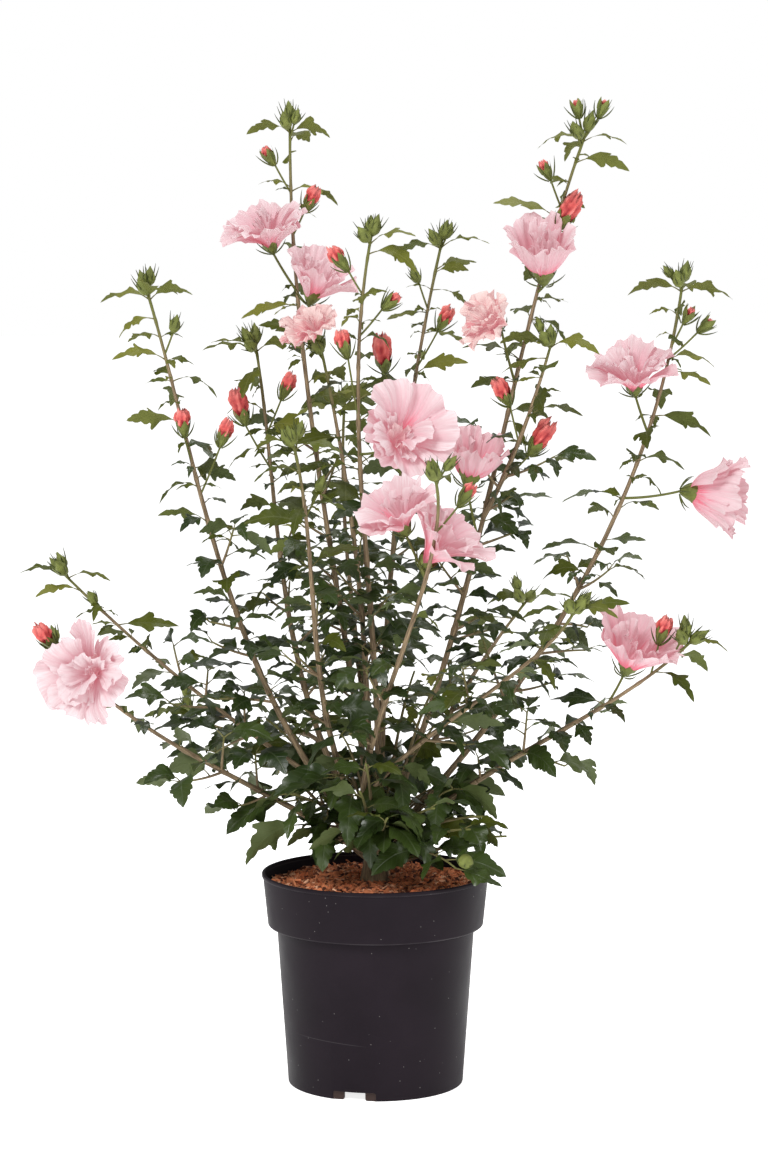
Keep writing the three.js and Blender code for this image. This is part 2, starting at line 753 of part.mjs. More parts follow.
// The stem of a basal shoot, turned on from its first heading until it clears every limb.
function basalShoot(index) {
  const pick = ([low, high], part) => low + (high - low) * part;
  const rise = pick(BASAL.elevations, (index * BASAL.riseStep) % 1);
  const height = pick(BASAL.heights, index / (BASAL.count - 1));
  const steepness = THREE.MathUtils.inverseLerp(...BASAL.elevations, rise);
  const length = pick(BASAL.lengths, steepness);
  const node = `basal_${String(index + 1).padStart(2, "0")}`;
  for (let i = 0; i < BASAL.tries; i++) {
    const swing = (i % 2 ? 1 : -1) * Math.ceil(i / 2) * BASAL.turnStep;
    const turn = index * GROWTH.turn + swing;
    const foot = new THREE.Vector3(0, 0, height);
    const tip = foot.clone().addScaledVector(heading(turn, rise), length);
    const nearFoot = foot.clone().addScaledVector(heading(turn, rise * 0.8 + 10), length * 0.35);
    const nearTip = foot.clone().addScaledVector(heading(turn, rise + 7), length * 0.7);
    const curve = new THREE.CubicBezierCurve3(foot, nearFoot, nearTip, tip);
    const radius = (at) => pick(BASAL.radius, at);
    const stem = cutClear(limb(curve, 0, 1, radius, BASAL.sides, BASAL.steps), [swollen[0]]);
    if (placed.every((other) => other.node === "trunk" || stem.minGap(other.piece, CLEAR) >= CLEAR)) {
      const start = BASAL.firstLeaf / length;
      return { node, curve, start, swings: BASAL.swings, parts: [place(node, stem)] };
    }
  }
  return null;
}

const basals = [];
for (let i = 0; i < BASAL.count; i++) {
  const shoot = basalShoot(i);
  if (shoot) {
    basals.push(shoot);
  }
}

const shootOn = (name) => shoots.find((one) => one.node === `shoot_${name}`);
FLOWERS.forEach((spec) => addFlower(shootOn(spec.on), spec));
BUDS.forEach((spec) => {
  const shoot = shootOn(spec.on);
  const start = shoot.curve.getPoint(spec.at);
  const piece = bud(start, heading(...spec.toward), spec.stalk, spec.open ? OPENING : GREEN);
  shoot.parts.push(place(shoot.node, piece));
  const middle = start.addScaledVector(heading(...spec.toward), spec.stalk + STALK.room / 3);
  fillSpot(shoot.node, middle, STALK.room);
});

shoots.forEach((shoot, index) => growTip(shoot, makeRandom(SEED.tip + SEED.step * index)));
shoots.forEach((shoot, index) => {
  const random = makeRandom(SEED.shoot + SEED.step * index);
  growAlong(shoot, GROWTH.spacing, GROWTH.leaf, random);
});
basals.forEach((shoot, index) => {
  const random = makeRandom(SEED.basal + SEED.step * index);
  growAlong(shoot, BASAL.spacing, BASAL.leaf, random);
});
[...shoots, ...basals].forEach((shoot) => {
  addNode(shoot.node, Manifold.union(shoot.parts).simplify(SLIVER), PAINT.leaf);
});

export default plant;
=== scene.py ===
import math

import bpy
import numpy as np
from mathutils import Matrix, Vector, noise
from mathutils.bvhtree import BVHTree


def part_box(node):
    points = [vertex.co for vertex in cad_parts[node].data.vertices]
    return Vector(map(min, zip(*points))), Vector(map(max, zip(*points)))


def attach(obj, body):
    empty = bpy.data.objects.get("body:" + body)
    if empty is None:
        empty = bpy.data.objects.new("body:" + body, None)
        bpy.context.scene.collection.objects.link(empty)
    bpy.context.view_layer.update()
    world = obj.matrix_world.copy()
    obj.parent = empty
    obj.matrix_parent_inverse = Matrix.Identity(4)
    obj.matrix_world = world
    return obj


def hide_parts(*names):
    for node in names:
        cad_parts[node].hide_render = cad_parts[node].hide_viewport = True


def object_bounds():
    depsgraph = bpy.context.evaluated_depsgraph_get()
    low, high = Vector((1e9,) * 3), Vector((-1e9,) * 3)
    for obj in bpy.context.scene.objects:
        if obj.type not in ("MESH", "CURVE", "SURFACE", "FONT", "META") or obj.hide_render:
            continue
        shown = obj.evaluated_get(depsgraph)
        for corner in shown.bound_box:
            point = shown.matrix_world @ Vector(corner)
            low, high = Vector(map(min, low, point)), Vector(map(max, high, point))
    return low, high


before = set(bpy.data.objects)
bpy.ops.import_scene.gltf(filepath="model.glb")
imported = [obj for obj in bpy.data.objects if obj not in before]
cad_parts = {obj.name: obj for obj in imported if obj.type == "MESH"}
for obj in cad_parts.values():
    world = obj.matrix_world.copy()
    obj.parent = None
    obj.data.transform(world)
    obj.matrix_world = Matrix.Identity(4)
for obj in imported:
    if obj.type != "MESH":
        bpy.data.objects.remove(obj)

cad_low, cad_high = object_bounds()

# ---------------------------------------------------------------- pot
# A round nursery pot, blown thin from black polypropylene. It tapers to a foot ring with three
# water notches, and carries a deeper band with a step under it and a small rolled lip.
POT_SIDES = 144
POT_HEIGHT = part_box("pot")[1].z
POT_WALL = 0.0022
POT_FOOT = 0.090
POT_FOOT_WALL = 0.007
POT_FLOOR = (0.010, 0.0125)
POT_SHOULDER = 0.1015
POT_STEP = 0.164
POT_BAND = 0.1105
BAND_ROUND = 0.0016
STEP_ROUND = 0.0012
SMOOTH_ANGLE = math.radians(32)
POT_LIP = 0.116
POT_LIP_DEPTH = 0.004
POT_LIP_PROUD = 0.0008
POT_LIP_ROUND = 0.001
# Each notch is a recess in the wall with a slot and a low arch through it.
NOTCH_COUNT = 3
NOTCH_FIRST = math.radians(-104.1)
NOTCH_SIZE = (0.030, 0.022, 0.018)
NOTCH_ROUND = 0.0008
RECESS_SIZE = (0.030, 0.046, 0.018)
RECESS_ROUND = 0.0025
RECESS_DEPTH = 0.0042
ARCH_RADIUS = 0.0135
ARCH_LEVEL = -0.0062
ARCH_DEPTH = 0.03
POT_BLACK = (0.0115, 0.0083, 0.0113)
POT_DUST = (0.17, 0.16, 0.155)
# Pale grey for the scratch, and for the painted highlights along the band's foot and under the lip.
POT_SCRATCH_AND_SHEEN = (0.060, 0.054, 0.058)
RECESS_BROWN = (0.046, 0.031, 0.028)
# The scratch is a faint line low on the front, whose height bows with the place across.
SCRATCH_BOW = (0.05616, -0.101, -0.534)
SCRATCH_ENDS = (-0.082, -0.008)
SCRATCH_FADE = 0.016


def inner_radius(height):
    """Radius of the pot's inner wall at a height, under the band and in it."""
    if height < POT_STEP:
        return POT_FOOT - POT_WALL + (POT_SHOULDER - POT_FOOT) * height / POT_STEP
    share = (height - POT_STEP) / (POT_HEIGHT - POT_STEP)
    return POT_BAND - POT_WALL + (POT_LIP - POT_BAND) * share


def select_ring(thing, radius, height):
    """Selects, in edit mode, the edges whose ends both lie on a level ring about Z."""
    bpy.ops.mesh.select_all(action="DESELECT")
    bpy.ops.object.mode_set(mode="OBJECT")
    mesh, near = thing.data, 1e-4
    for vertex in mesh.vertices:
        off = math.hypot(vertex.co.x, vertex.co.y) - radius
        vertex.select = abs(off) < near and abs(vertex.co.z - height) < near
    for edge in mesh.edges:
        edge.select = all(mesh.vertices[end].select for end in edge.vertices)
    bpy.ops.object.mode_set(mode="EDIT")


def turn_rings(name, rings, sides):
    """A shell pulled up ring by ring, as a potter does, and closed at both ends."""
    bpy.ops.object.select_all(action="DESELECT")
    radius, height = rings[0]
    bpy.ops.mesh.primitive_circle_add(vertices=sides, radius=radius, location=(0, 0, height))
    shell = bpy.context.active_object
    shell.name = shell.data.name = name
    bpy.ops.object.transform_apply(location=True)
    bpy.ops.object.mode_set(mode="EDIT")
    for next_radius, next_height in rings[1:]:
        rise = (0, 0, next_height - height)
        bpy.ops.mesh.extrude_region_move(TRANSFORM_OT_translate={"value": rise})
        grow = next_radius / radius
        bpy.ops.transform.resize(value=(grow, grow, 1), center_override=(0, 0, next_height))
        radius, height = next_radius, next_height
    for end_radius, end_height in (rings[0], rings[-1]):
        select_ring(shell, end_radius, end_height)
        bpy.ops.mesh.edge_face_add()
    bpy.ops.mesh.select_all(action="SELECT")
    bpy.ops.mesh.normals_make_consistent(inside=False)
    return shell


def bevel_ring(shell, radius, height, width, segments):
    """Rounds the edge that runs round a shell at a ring."""
    select_ring(shell, radius, height)
    bpy.ops.mesh.bevel(offset=width, segments=segments, affect="EDGES")


def cut_out(thing, cutter):
    """Takes a cutter's shape out of a thing, and the cutter away."""
    bpy.ops.object.select_all(action="DESELECT")
    thing.select_set(True)
    bpy.context.view_layer.objects.active = thing
    cut = thing.modifiers.new("cut", "BOOLEAN")
    cut.operation, cut.solver, cut.object = "DIFFERENCE", "EXACT", cutter
    bpy.ops.object.modifier_apply(modifier="cut")
    bpy.data.objects.remove(cutter)


def cut_box(thing, size, centre, turn, rounding):
    """Cuts a box with rounded edges, turned about Z, out of a thing."""
    bpy.ops.object.select_all(action="DESELECT")
    bpy.ops.mesh.primitive_cube_add(size=1, location=centre, rotation=(0, 0, turn), scale=size)
    cutter = bpy.context.active_object
    bpy.ops.object.transform_apply(location=True, rotation=True, scale=True)
    bpy.ops.object.mode_set(mode="EDIT")
    bpy.ops.mesh.select_all(action="SELECT")
    bpy.ops.mesh.bevel(offset=rounding, segments=3, affect="EDGES")
    bpy.ops.object.mode_set(mode="OBJECT")
    cut_out(thing, cutter)


def cut_arch(thing, centre, turn):
    """Cuts a level drum, its axis on a heading, out of a thing."""
    bpy.ops.object.select_all(action="DESELECT")
    turns = (0, math.pi / 2, turn)
    size = {"vertices": 48, "radius": ARCH_RADIUS, "depth": ARCH_DEPTH}
    bpy.ops.mesh.primitive_cylinder_add(location=centre, rotation=turns, **size)
    bpy.ops.object.transform_apply(location=True, rotation=True)
    cut_out(thing, bpy.context.active_object)


def add_node(tree, kind, inputs=None, **settings):
    """A shader node with its settings made. An input that is a socket is linked, a value is set."""
    made = tree.nodes.new("ShaderNode" + kind)
    for name, value in settings.items():
        setattr(made, name, value)
    for key, value in (inputs or {}).items():
        if isinstance(value, bpy.types.NodeSocket):
            tree.links.new(value, made.inputs[key])
        else:
            made.inputs[key].default_value = value
    return made


def new_material(name, roughness, **uniform):
    """A material with one Principled shader, its plain values set on the sockets."""
    material = bpy.data.materials.new(name)
    material.use_nodes = True
    shader = material.node_tree.nodes["Principled BSDF"]
    for key, value in {"Roughness": roughness, **uniform}.items():
        shader.inputs[key.replace("_", " ")].default_value = value
    return material, material.node_tree, shader


def mix_colour(tree, share, low, high):
    """low where share is 0 and high where it is 1."""
    low, high = ((*part, 1) if isinstance(part, tuple) else part for part in (low, high))
    return add_node(tree, "Mix", {0: share, 6: low, 7: high}, data_type="RGBA").outputs[2]


def ramp(tree, value, low, high):
    """0 up to low, 1 from high, and even between."""
    inputs = {"Value": value, "From Min": low, "From Max": high}
    return add_node(tree, "MapRange", inputs, clamp=True).outputs["Result"]


def math_node(tree, operation, *values):
    return add_node(tree, "Math", dict(enumerate(values)), operation=operation).outputs[0]


def times(tree, first, *others):
    """The product of two or more shares."""
    for other in others:
        first = math_node(tree, "MULTIPLY", first, other)
    return first


def line_at(tree, value, middle, far, close):
    """1 where a value lies within close of the middle, and 0 beyond far from it."""
    off = math_node(tree, "ABSOLUTE", math_node(tree, "SUBTRACT", value, middle))
    return ramp(tree, off, far, close)


def cloud(tree, scale, detail):
    """Cloudy noise that stays with the piece."""
    place = add_node(tree, "TexCoord").outputs["Object"]
    return add_node(tree, "TexNoise", {"Vector": place, "Scale": scale, "Detail": detail}).outputs["Fac"]


def join_skin(tree, shader, colour, height=None, strength=0.5, distance=0.001, invert=False):
    """Gives a shader its colour and, where the surface has one, its relief."""
    tree.links.new(colour, shader.inputs["Base Color"])
    if height:
        relief = {"Height": height, "Strength": strength, "Distance": distance}
        bump = add_node(tree, "Bump", relief, invert=invert)
        tree.links.new(bump.outputs["Normal"], shader.inputs["Normal"])


def pot_plastic():
    """Matt black plastic with a fine grain. It has a few pale specks of dust, painted highlights in thin
    pale lines along the band's foot and under the lip, a scratch low on the front, and soil in the
    notches' recesses."""
    material, tree, shader = new_material("pot_plastic", 0.5, Specular_IOR_Level=0.05)
    place = add_node(tree, "TexCoord").outputs["Object"]
    x, y, z = add_node(tree, "SeparateXYZ", {"Vector": place}).outputs
    drift = cloud(tree, 14, 5)
    worn = ramp(tree, drift, 0.35, 0.75)
    plastic = mix_colour(tree, worn, POT_BLACK, tuple(1.45 * part for part in POT_BLACK))
    specks = add_node(tree, "TexVoronoi", {"Vector": place, "Scale": 130}, feature="F1").outputs
    chosen = math_node(tree, "GREATER_THAN", specks["Color"], 0.45)
    dust = times(tree, ramp(tree, specks["Distance"], 0.075, 0.040), chosen)
    plastic = mix_colour(tree, dust, plastic, POT_DUST)
    # Painted highlights: thin pale lines where the rounded band foot and the lip's underside would catch
    # the light.
    for height in (POT_STEP + 0.0009, POT_HEIGHT - POT_LIP_DEPTH + 0.0004):
        edge_sheen = times(tree, line_at(tree, z, height, 0.0008, 0.0003), worn)
        plastic = mix_colour(tree, edge_sheen, plastic, POT_SCRATCH_AND_SHEEN)
    level, lean, bend = SCRATCH_BOW
    bow = math_node(tree, "MULTIPLY_ADD", x, bend, lean)
    bow = math_node(tree, "MULTIPLY_ADD", bow, x, level)
    left, right = SCRATCH_ENDS
    scratch = times(tree, line_at(tree, z, bow, 0.0005, 0.0001), 0.55,
                    ramp(tree, x, left, left + SCRATCH_FADE),
                    ramp(tree, x, right, right - SCRATCH_FADE), ramp(tree, y, 0, -0.01))
    plastic = mix_colour(tree, scratch, plastic, POT_SCRATCH_AND_SHEEN)
    level = add_node(tree, "CombineXYZ", {"X": x, "Y": y}).outputs[0]
    away = add_node(tree, "VectorMath", {0: level}, operation="LENGTH").outputs["Value"]
    recessed = times(tree, ramp(tree, away, POT_FOOT - 0.0002, POT_FOOT - 0.0010),
                     ramp(tree, z, POT_FLOOR[0] + 0.0005, POT_FLOOR[0] - 0.0005))
    plastic = mix_colour(tree, recessed, plastic, RECESS_BROWN)
    tree.links.new(ramp(tree, drift, -0.55, 1.65), shader.inputs["Roughness"])
    join_skin(tree, shader, plastic, cloud(tree, 900, 2), 0.16, 0.0004)
    return material


def make_pot():
    height, ledge = POT_HEIGHT, POT_STEP + POT_WALL
    lip_low, lip_out = height - POT_LIP_DEPTH, POT_LIP + POT_LIP_PROUD
    foot_in = POT_FOOT - POT_FOOT_WALL
    rings = [
        (foot_in, POT_FLOOR[0]),
        (foot_in, 0),
        (POT_FOOT, 0),
        (POT_SHOULDER, POT_STEP),
        (POT_BAND, POT_STEP),
        (inner_radius(lip_low) + POT_WALL, lip_low),
        (lip_out, lip_low),
        (lip_out, height),
        (inner_radius(height), height),
        (inner_radius(ledge), ledge),
        (POT_SHOULDER - POT_WALL, ledge),
        (inner_radius(POT_FLOOR[1]), POT_FLOOR[1]),
    ]
    pot = turn_rings("pot_shell", rings, POT_SIDES)
    bevel_ring(pot, lip_out, height, POT_LIP_ROUND, 3)
    bevel_ring(pot, lip_out, lip_low, POT_LIP_ROUND / 2, 2)
    bevel_ring(pot, inner_radius(height), height, POT_LIP_ROUND / 2, 2)
    bevel_ring(pot, POT_BAND, POT_STEP, BAND_ROUND, 4)
    bevel_ring(pot, POT_SHOULDER, POT_STEP, STEP_ROUND, 3)
    bevel_ring(pot, POT_FOOT, 0, STEP_ROUND, 3)
    bpy.ops.object.mode_set(mode="OBJECT")
    for index in range(NOTCH_COUNT):
        turn = NOTCH_FIRST + 2 * math.pi * index / NOTCH_COUNT
        out = Vector((math.cos(turn), math.sin(turn), 0))
        recess_middle = out * (POT_FOOT - RECESS_DEPTH + RECESS_SIZE[0] / 2)
        cut_box(pot, RECESS_SIZE, recess_middle, turn, RECESS_ROUND)
        cut_box(pot, NOTCH_SIZE, out * POT_FOOT, turn, NOTCH_ROUND)
        cut_arch(pot, out * POT_FOOT + Vector((0, 0, ARCH_LEVEL)), turn)
    bpy.ops.object.shade_smooth_by_angle(angle=SMOOTH_ANGLE)
    pot.data.materials.append(pot_plastic())
    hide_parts("pot")
    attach(pot, "root")


make_pot()

# ---------------------------------------------------------------- fill
# A potting mix that is mostly coarse bark and coir: a low mound of crumbs, strewn with chips
# lying at all angles and with loose fibres.
FILL_SIDES = 96
FILL_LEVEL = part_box("soil")[1].z
FILL_EDGE_DROP = 0.003
FILL_EDGE_GAP = 0.0004
FILL_DEPTH = 0.03
FILL_RINGS = 22
FILL_SMOOTH = math.radians(60)
FILL_BROWN = (0.080, 0.030, 0.016)
CHIP_KINDS = {
    "rust": {"count": 1350, "length": (0.004, 0.012), "colour": (0.53, 0.176, 0.078)},
    "umber": {"count": 1300, "length": (0.003, 0.010), "colour": (0.115, 0.038, 0.021)},
    "ochre": {"count": 620, "length": (0.004, 0.010), "colour": (0.70, 0.36, 0.22)},
    "fibre": {"count": 700, "length": (0.008, 0.022), "colour": (0.42, 0.150, 0.068)},
}
CHIP_SEED = 11
CHIP_WIDTH = (0.3, 0.75)
CHIP_HEIGHT = (0.12, 0.3)
FIBRE_SLIM = (0.09, 0.09)
CHIP_LIFT = 0.0022
# A chip is a slab with skewed corners; a fibre is a long thin one.
SLAB_CORNERS = np.array([(x, y, z) for x in (-1, 1) for y in (-1, 1) for z in (-1, 1)], float)
SLAB_FACES = [(0, 1, 3, 2), (4, 6, 7, 5), (0, 4, 5, 1), (2, 3, 7, 6), (0, 2, 6, 4), (1, 5, 7, 3)]


def fill_height(x, y):
    """Height of the mound's surface at a place."""
    share = min(1.0, math.hypot(x, y) / inner_radius(FILL_LEVEL))
    lumps = noise.noise(Vector((x, y, 0)) * 60) * 0.0016
    crumbs = noise.noise(Vector((x, y, 1)) * 190) * 0.0009
    return FILL_LEVEL - 0.0012 - FILL_EDGE_DROP * share**3 + lumps + crumbs


def effect_group(name, build):
    """A node group, and the outputs that build gives it."""
    group = bpy.data.node_groups.new(name, "ShaderNodeTree")
    outputs = build(group)
    for output in outputs:
        group.interface.new_socket(output, in_out="OUTPUT", socket_type="NodeSocketFloat")
    end = group.nodes.new("NodeGroupOutput")
    for output, socket in outputs.items():
        group.links.new(socket, end.inputs[output])
    return group


def place_effect(tree, group):
    """Puts a node group into a material and gives its outputs."""
    placed = tree.nodes.new("ShaderNodeGroup")
    placed.node_tree = group
    return placed.outputs


def crumb_grain(group):
    """A drift from crumb to crumb over a coarse grain."""
    drift = cloud(group, 150, 4)
    return {"Share": ramp(group, drift, 0.34, 0.66), "Height": drift}


CRUMB_GRAIN = effect_group("crumb_grain", crumb_grain)


def crumb_material(name, colour, roughness, spread):
    """Dull bark or compost. spread says how far its crumbs differ in colour."""
    material, tree, shader = new_material(name, roughness, Specular_IOR_Level=0.25)
    grain = place_effect(tree, CRUMB_GRAIN)
    pale = tuple(min(1.0, part * spread) for part in colour)
    dark = tuple(part / spread for part in colour)
    join_skin(tree, shader, mix_colour(tree, grain["Share"], dark, pale), grain["Height"])
    return material


def make_mound():
    edge = inner_radius(FILL_LEVEL) - FILL_EDGE_GAP
    middle = FILL_LEVEL - FILL_DEPTH / 2
    bpy.ops.object.select_all(action="DESELECT")
    size = {"vertices": FILL_SIDES, "radius": edge, "depth": FILL_DEPTH}
    bpy.ops.mesh.primitive_cylinder_add(location=(0, 0, middle), **size)
    mound = bpy.context.active_object
    mound.name = mound.data.name = "fill_mound"
    bpy.ops.object.transform_apply(location=True)
    bpy.ops.object.mode_set(mode="EDIT")
    bpy.ops.mesh.select_mode(type="FACE")
    bpy.ops.mesh.select_all(action="DESELECT")
    bpy.ops.object.mode_set(mode="OBJECT")
    for face in mound.data.polygons:
        face.select = face.normal.z > 0.9
    bpy.ops.object.mode_set(mode="EDIT")
    for _ in range(FILL_RINGS):
        bpy.ops.mesh.inset(thickness=edge / (FILL_RINGS + 1))
    bpy.ops.object.mode_set(mode="OBJECT")
    for vertex in mound.data.vertices:
        if vertex.co.z > middle:
            vertex.co.z = fill_height(vertex.co.x, vertex.co.y)
        else:
            vertex.co.xy *= (inner_radius(vertex.co.z) - FILL_EDGE_GAP) / edge
    bpy.ops.object.shade_smooth_by_angle(angle=FILL_SMOOTH)
    mound.data.materials.append(crumb_material("fill_mix", FILL_BROWN, 0.95, 1.9))
    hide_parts("soil")
    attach(mound, "root")


def make_piece(name, parts, material, smooth=True):
    """One joined mesh from (corners, faces, marks) parts. marks holds four numbers a corner,
    which the material reads in place of a UV map."""
    corners, faces, marks = [], [], []
    count = 0
    for part_corners, part_faces, part_marks in parts:
        corners.append(part_corners)
        marks.append(part_marks)
        faces.extend((np.asarray(face) + count).tolist() for face in part_faces)
        count += len(part_corners)
    mesh = bpy.data.meshes.new(name)
    mesh.from_pydata(np.concatenate(corners).tolist(), [], faces)
    layer = mesh.attributes.new("marks", "FLOAT_COLOR", "POINT")
    layer.data.foreach_set("color", np.concatenate(marks).astype(np.float32).ravel())
    mesh.polygons.foreach_set("use_smooth", [smooth] * len(mesh.polygons))
    mesh.materials.append(material)
    mesh.update()
    piece = bpy.data.objects.new(name, mesh)
    bpy.context.scene.collection.objects.link(piece)
    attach(piece, "root")
    return piece


def turn_matrix(yaw, pitch, roll):
    cy, sy, cp, sp, cr, sr = (f(a) for a in (yaw, pitch, roll) for f in (math.cos, math.sin))
    about_z = np.array([(cy, -sy, 0), (sy, cy, 0), (0, 0, 1)])
    about_y = np.array([(cp, 0, sp), (0, 1, 0), (-sp, 0, cp)])
    about_x = np.array([(1, 0, 0), (0, cr, -sr), (0, sr, cr)])
    return about_z @ about_y @ about_x


def make_chips(kind, seed):
    rng = np.random.default_rng(seed)
    spec = CHIP_KINDS[kind]
    parts = []
    for _ in range(spec["count"]):
        length = rng.uniform(*spec["length"])
        slim = FIBRE_SLIM if kind == "fibre" else (rng.uniform(*CHIP_WIDTH), rng.uniform(*CHIP_HEIGHT))
        size = np.array((1, *slim)) * length / 2
        slab = SLAB_CORNERS * size + rng.uniform(-0.28, 0.28, (8, 3)) * size
        slab[:, 2] += rng.uniform(-0.5, 0.5) * slim[1] * slab[:, 0]
        edge = inner_radius(FILL_LEVEL) - 0.001 - 0.65 * length
        away, turn = edge * math.sqrt(rng.uniform()), rng.uniform(0, 2 * math.pi)
        x, y = away * math.cos(turn), away * math.sin(turn)
        tilt = rng.normal(0, 0.32, 2)
        lift = fill_height(x, y) + rng.uniform(0, CHIP_LIFT)
        slab = slab @ turn_matrix(rng.uniform(0, 2 * math.pi), *tilt).T + (x, y, lift)
        parts.append((slab, SLAB_FACES, np.zeros((8, 4))))
    material = crumb_material("chip_" + kind, spec["colour"], 0.85, 1.5)
    make_piece("chips_" + kind, parts, material, smooth=False)


make_mound()
for chip_index, chip_kind in enumerate(CHIP_KINDS):
    make_chips(chip_kind, CHIP_SEED + chip_index)

# ---------------------------------------------------------------- trunk and boughs
# The wood: a short flared stock just out of the fill, and the bare foot of each stem. Thin
# grey-tan bark with lengthwise streaks, over a swollen ring at each old node.
GAP = 0.0003
UP = np.array((0.0, 0.0, 1.0))
TRUNK = ((0, 0, 0.2040), (0, 0, 0.240), (0.001, 0.001, 0.268))
TRUNK_RADIUS = 0.011
TRUNK_FLARE = 0.006
TRUNK_KNUCKLE = 0.0016
TRUNK_SIDES, TRUNK_RINGS, TRUNK_RELIEF = 36, 26, 0.16
STEM_FOOT_RADIUS = 0.0036
STEM_FORK_SHARE = 0.75
STEM_TIP_RADIUS = 0.0014
STEM_SIDES, BOUGH_SIDES, STEM_RELIEF = 10, 14, 0.14
RING_STEP = 0.003
NODE_SWELL = 0.22
NODE_REACH = 0.0035
GREEN_FROM, GREEN_RUN = 0.62, 0.36
BARK_TAN = (0.31, 0.225, 0.130)
BARK_DARK = (0.085, 0.055, 0.032)
BARK_GREEN = (0.120, 0.130, 0.030)

# Each stem is a cubic curve in millimetres: foot, two knees and tip, then the share of it that
# has no leaves. A stem that forks off another names it, and the place along it, as its foot.
STEM_CURVES = {
    "low_left": ((-3, -2, 228), (-100, -23, 314), (-213, -47, 336), (-318, -74, 454), 0.34),
    "left_tall": ((-2, -2, 240), (-153, -20, 410), (-173, -40, 626), (-226, -60, 812), 0.28),
    "left_inner": ((-3, 3, 252), (-106, 22, 392), (-97, 47, 595), (-124, 70, 756), 0.3),
    "front_left": ((-2, -4, 250), (-79, -62, 383), (-49, -127, 540), (-78, -190, 668), 0.3),
    "tall_left": ((-3, 7, 262), (-34, 39, 505), (-91, 77, 741), (-89, 115, 985), 0.27),
    "mid_left": ((-7, -1, 262), (-4, 10, 431), (-20, 20, 593), (-55, 30, 750), 0.32),
    "middle": ((1, -6, 262), (12, -17, 474), (-41, -33, 673), (-4, -50, 867), 0.28),
    "back_right_tall": ((6, 4, 262), (4, 70, 461), (24, 140, 660), (71, 210, 864), 0.28),
    "front": ((-1, -3, 236), (-55, -53, 318), (80, -198, 541), (57, -256, 638), 0.34),
    "tall_right": ((4, 0, 254), (114, 17, 494), (130, 33, 742), (215, 50, 973), 0.27),
    "right_tall": ((2, 0, 240), (172, 0, 417), (282, 0, 602), (310, 0, 821), 0.28),
    "low_right": ((2, -2, 228), (100, -23, 338), (229, -47, 377), (314, -70, 463), 0.32),
    "back_right": ((2, 3, 244), (57, 81, 335), (101, 160, 406), (165, 248, 471), 0.34),
    "back_middle": ((0, 6, 250), (-6, 84, 380), (-44, 166, 530), (-34, 226, 690), 0.3),
    "left_fan": (("left_tall", 0.14), (-140, 20, 365), (-224, 40, 423), (-323, 60, 519), 0.26),
    "left_short": (("left_inner", 0.2), (-80, 120, 368), (-121, 140, 314), (-207, 235, 349), 0.3),
    "front_right": (("front", 0.17), (10, -70, 360), (164, -144, 441), (191, -190, 507), 0.34),
    "right_inner": (("tall_right", 0.45), (140, -5, 640), (159, -27, 698), (175, -40, 758), 0.16),
}


def bezier(points, share):
    """The place on a curve at a share of its way; share may be an array."""
    share = np.asarray(share, float)[..., None]
    points = [np.asarray(point, float) for point in points]
    while len(points) > 1:
        points = [a * (1 - share) + b * share for a, b in zip(points, points[1:])]
    return points[0]


def slope(points, share):
    """The unit vector along a curve at a share of its way."""
    share = np.clip(np.asarray(share, float), 0, 1)
    step = 1e-4
    run = bezier(points, share + step) - bezier(points, share - step)
    return run / np.linalg.norm(run, axis=-1, keepdims=True)


def curve_length(points):
    places = bezier(points, np.linspace(0, 1, 201))
    return np.linalg.norm(np.diff(places, axis=0), axis=1).sum()


def unit(vector):
    vector = np.asarray(vector, float)
    return vector / np.linalg.norm(vector)


def heading(turn, rise):
    """The unit vector that points a turn about Z and a rise over level, in degrees."""
    turn, rise = math.radians(turn), math.radians(rise)
    level = math.cos(rise)
    return np.array((level * math.cos(turn), level * math.sin(turn), math.sin(rise)))


def ring_faces(count, sides, turned=False, top=True):
    """Faces between rings of corners and over both ends, or over the foot alone. turned says
    that the rings run the other way round."""
    faces = []
    for low in range(0, (count - 1) * sides, sides):
        for i in range(sides):
            j = (i + 1) % sides
            a, b, c, d = low + i, low + j, low + sides + j, low + sides + i
            faces.append((a, d, c, b) if turned else (a, b, c, d))
    foot, head = tuple(range(sides)), tuple(range((count - 1) * sides, count * sides))
    ends = [foot, head[::-1]] if turned else [foot[::-1], head]
    return faces + ends[: 2 if top else 1]


def tube(points, shares, radii, sides, tones, relief=0.0, offset=0.0):
    """A round limb along a curve with closed ends. Its marks are a circle about the limb, the
    length along it and its tone; relief raises ridges of bark along it."""
    middles = bezier(points, shares)
    along = slope(points, shares)
    out = np.cross((0, 1, 0), along)
    out /= np.linalg.norm(out, axis=1, keepdims=True)
    side = np.cross(out, along)
    steps = np.linalg.norm(np.diff(middles, axis=0), axis=1)
    lengths = offset + np.concatenate(([0], steps.cumsum()))
    corners, marks = [], []
    for middle, a, b, radius, length, tone in zip(middles, out, side, radii, lengths, tones):
        for turn in 2 * math.pi * np.arange(sides) / sides:
            c, s = math.cos(turn), math.sin(turn)
            swell = 1
            if relief:
                place = Vector((c * 1.7, s * 1.7, length * 40))
                fine = Vector((c * 4, s * 4, length * 160))
                swell += relief * (noise.noise(place) + 0.5 * noise.noise(fine))
            corners.append(middle + (a * c + b * s) * radius * swell)
            marks.append((c, s, length, tone))
    return np.array(corners), ring_faces(len(middles), sides, turned=True), np.array(marks)


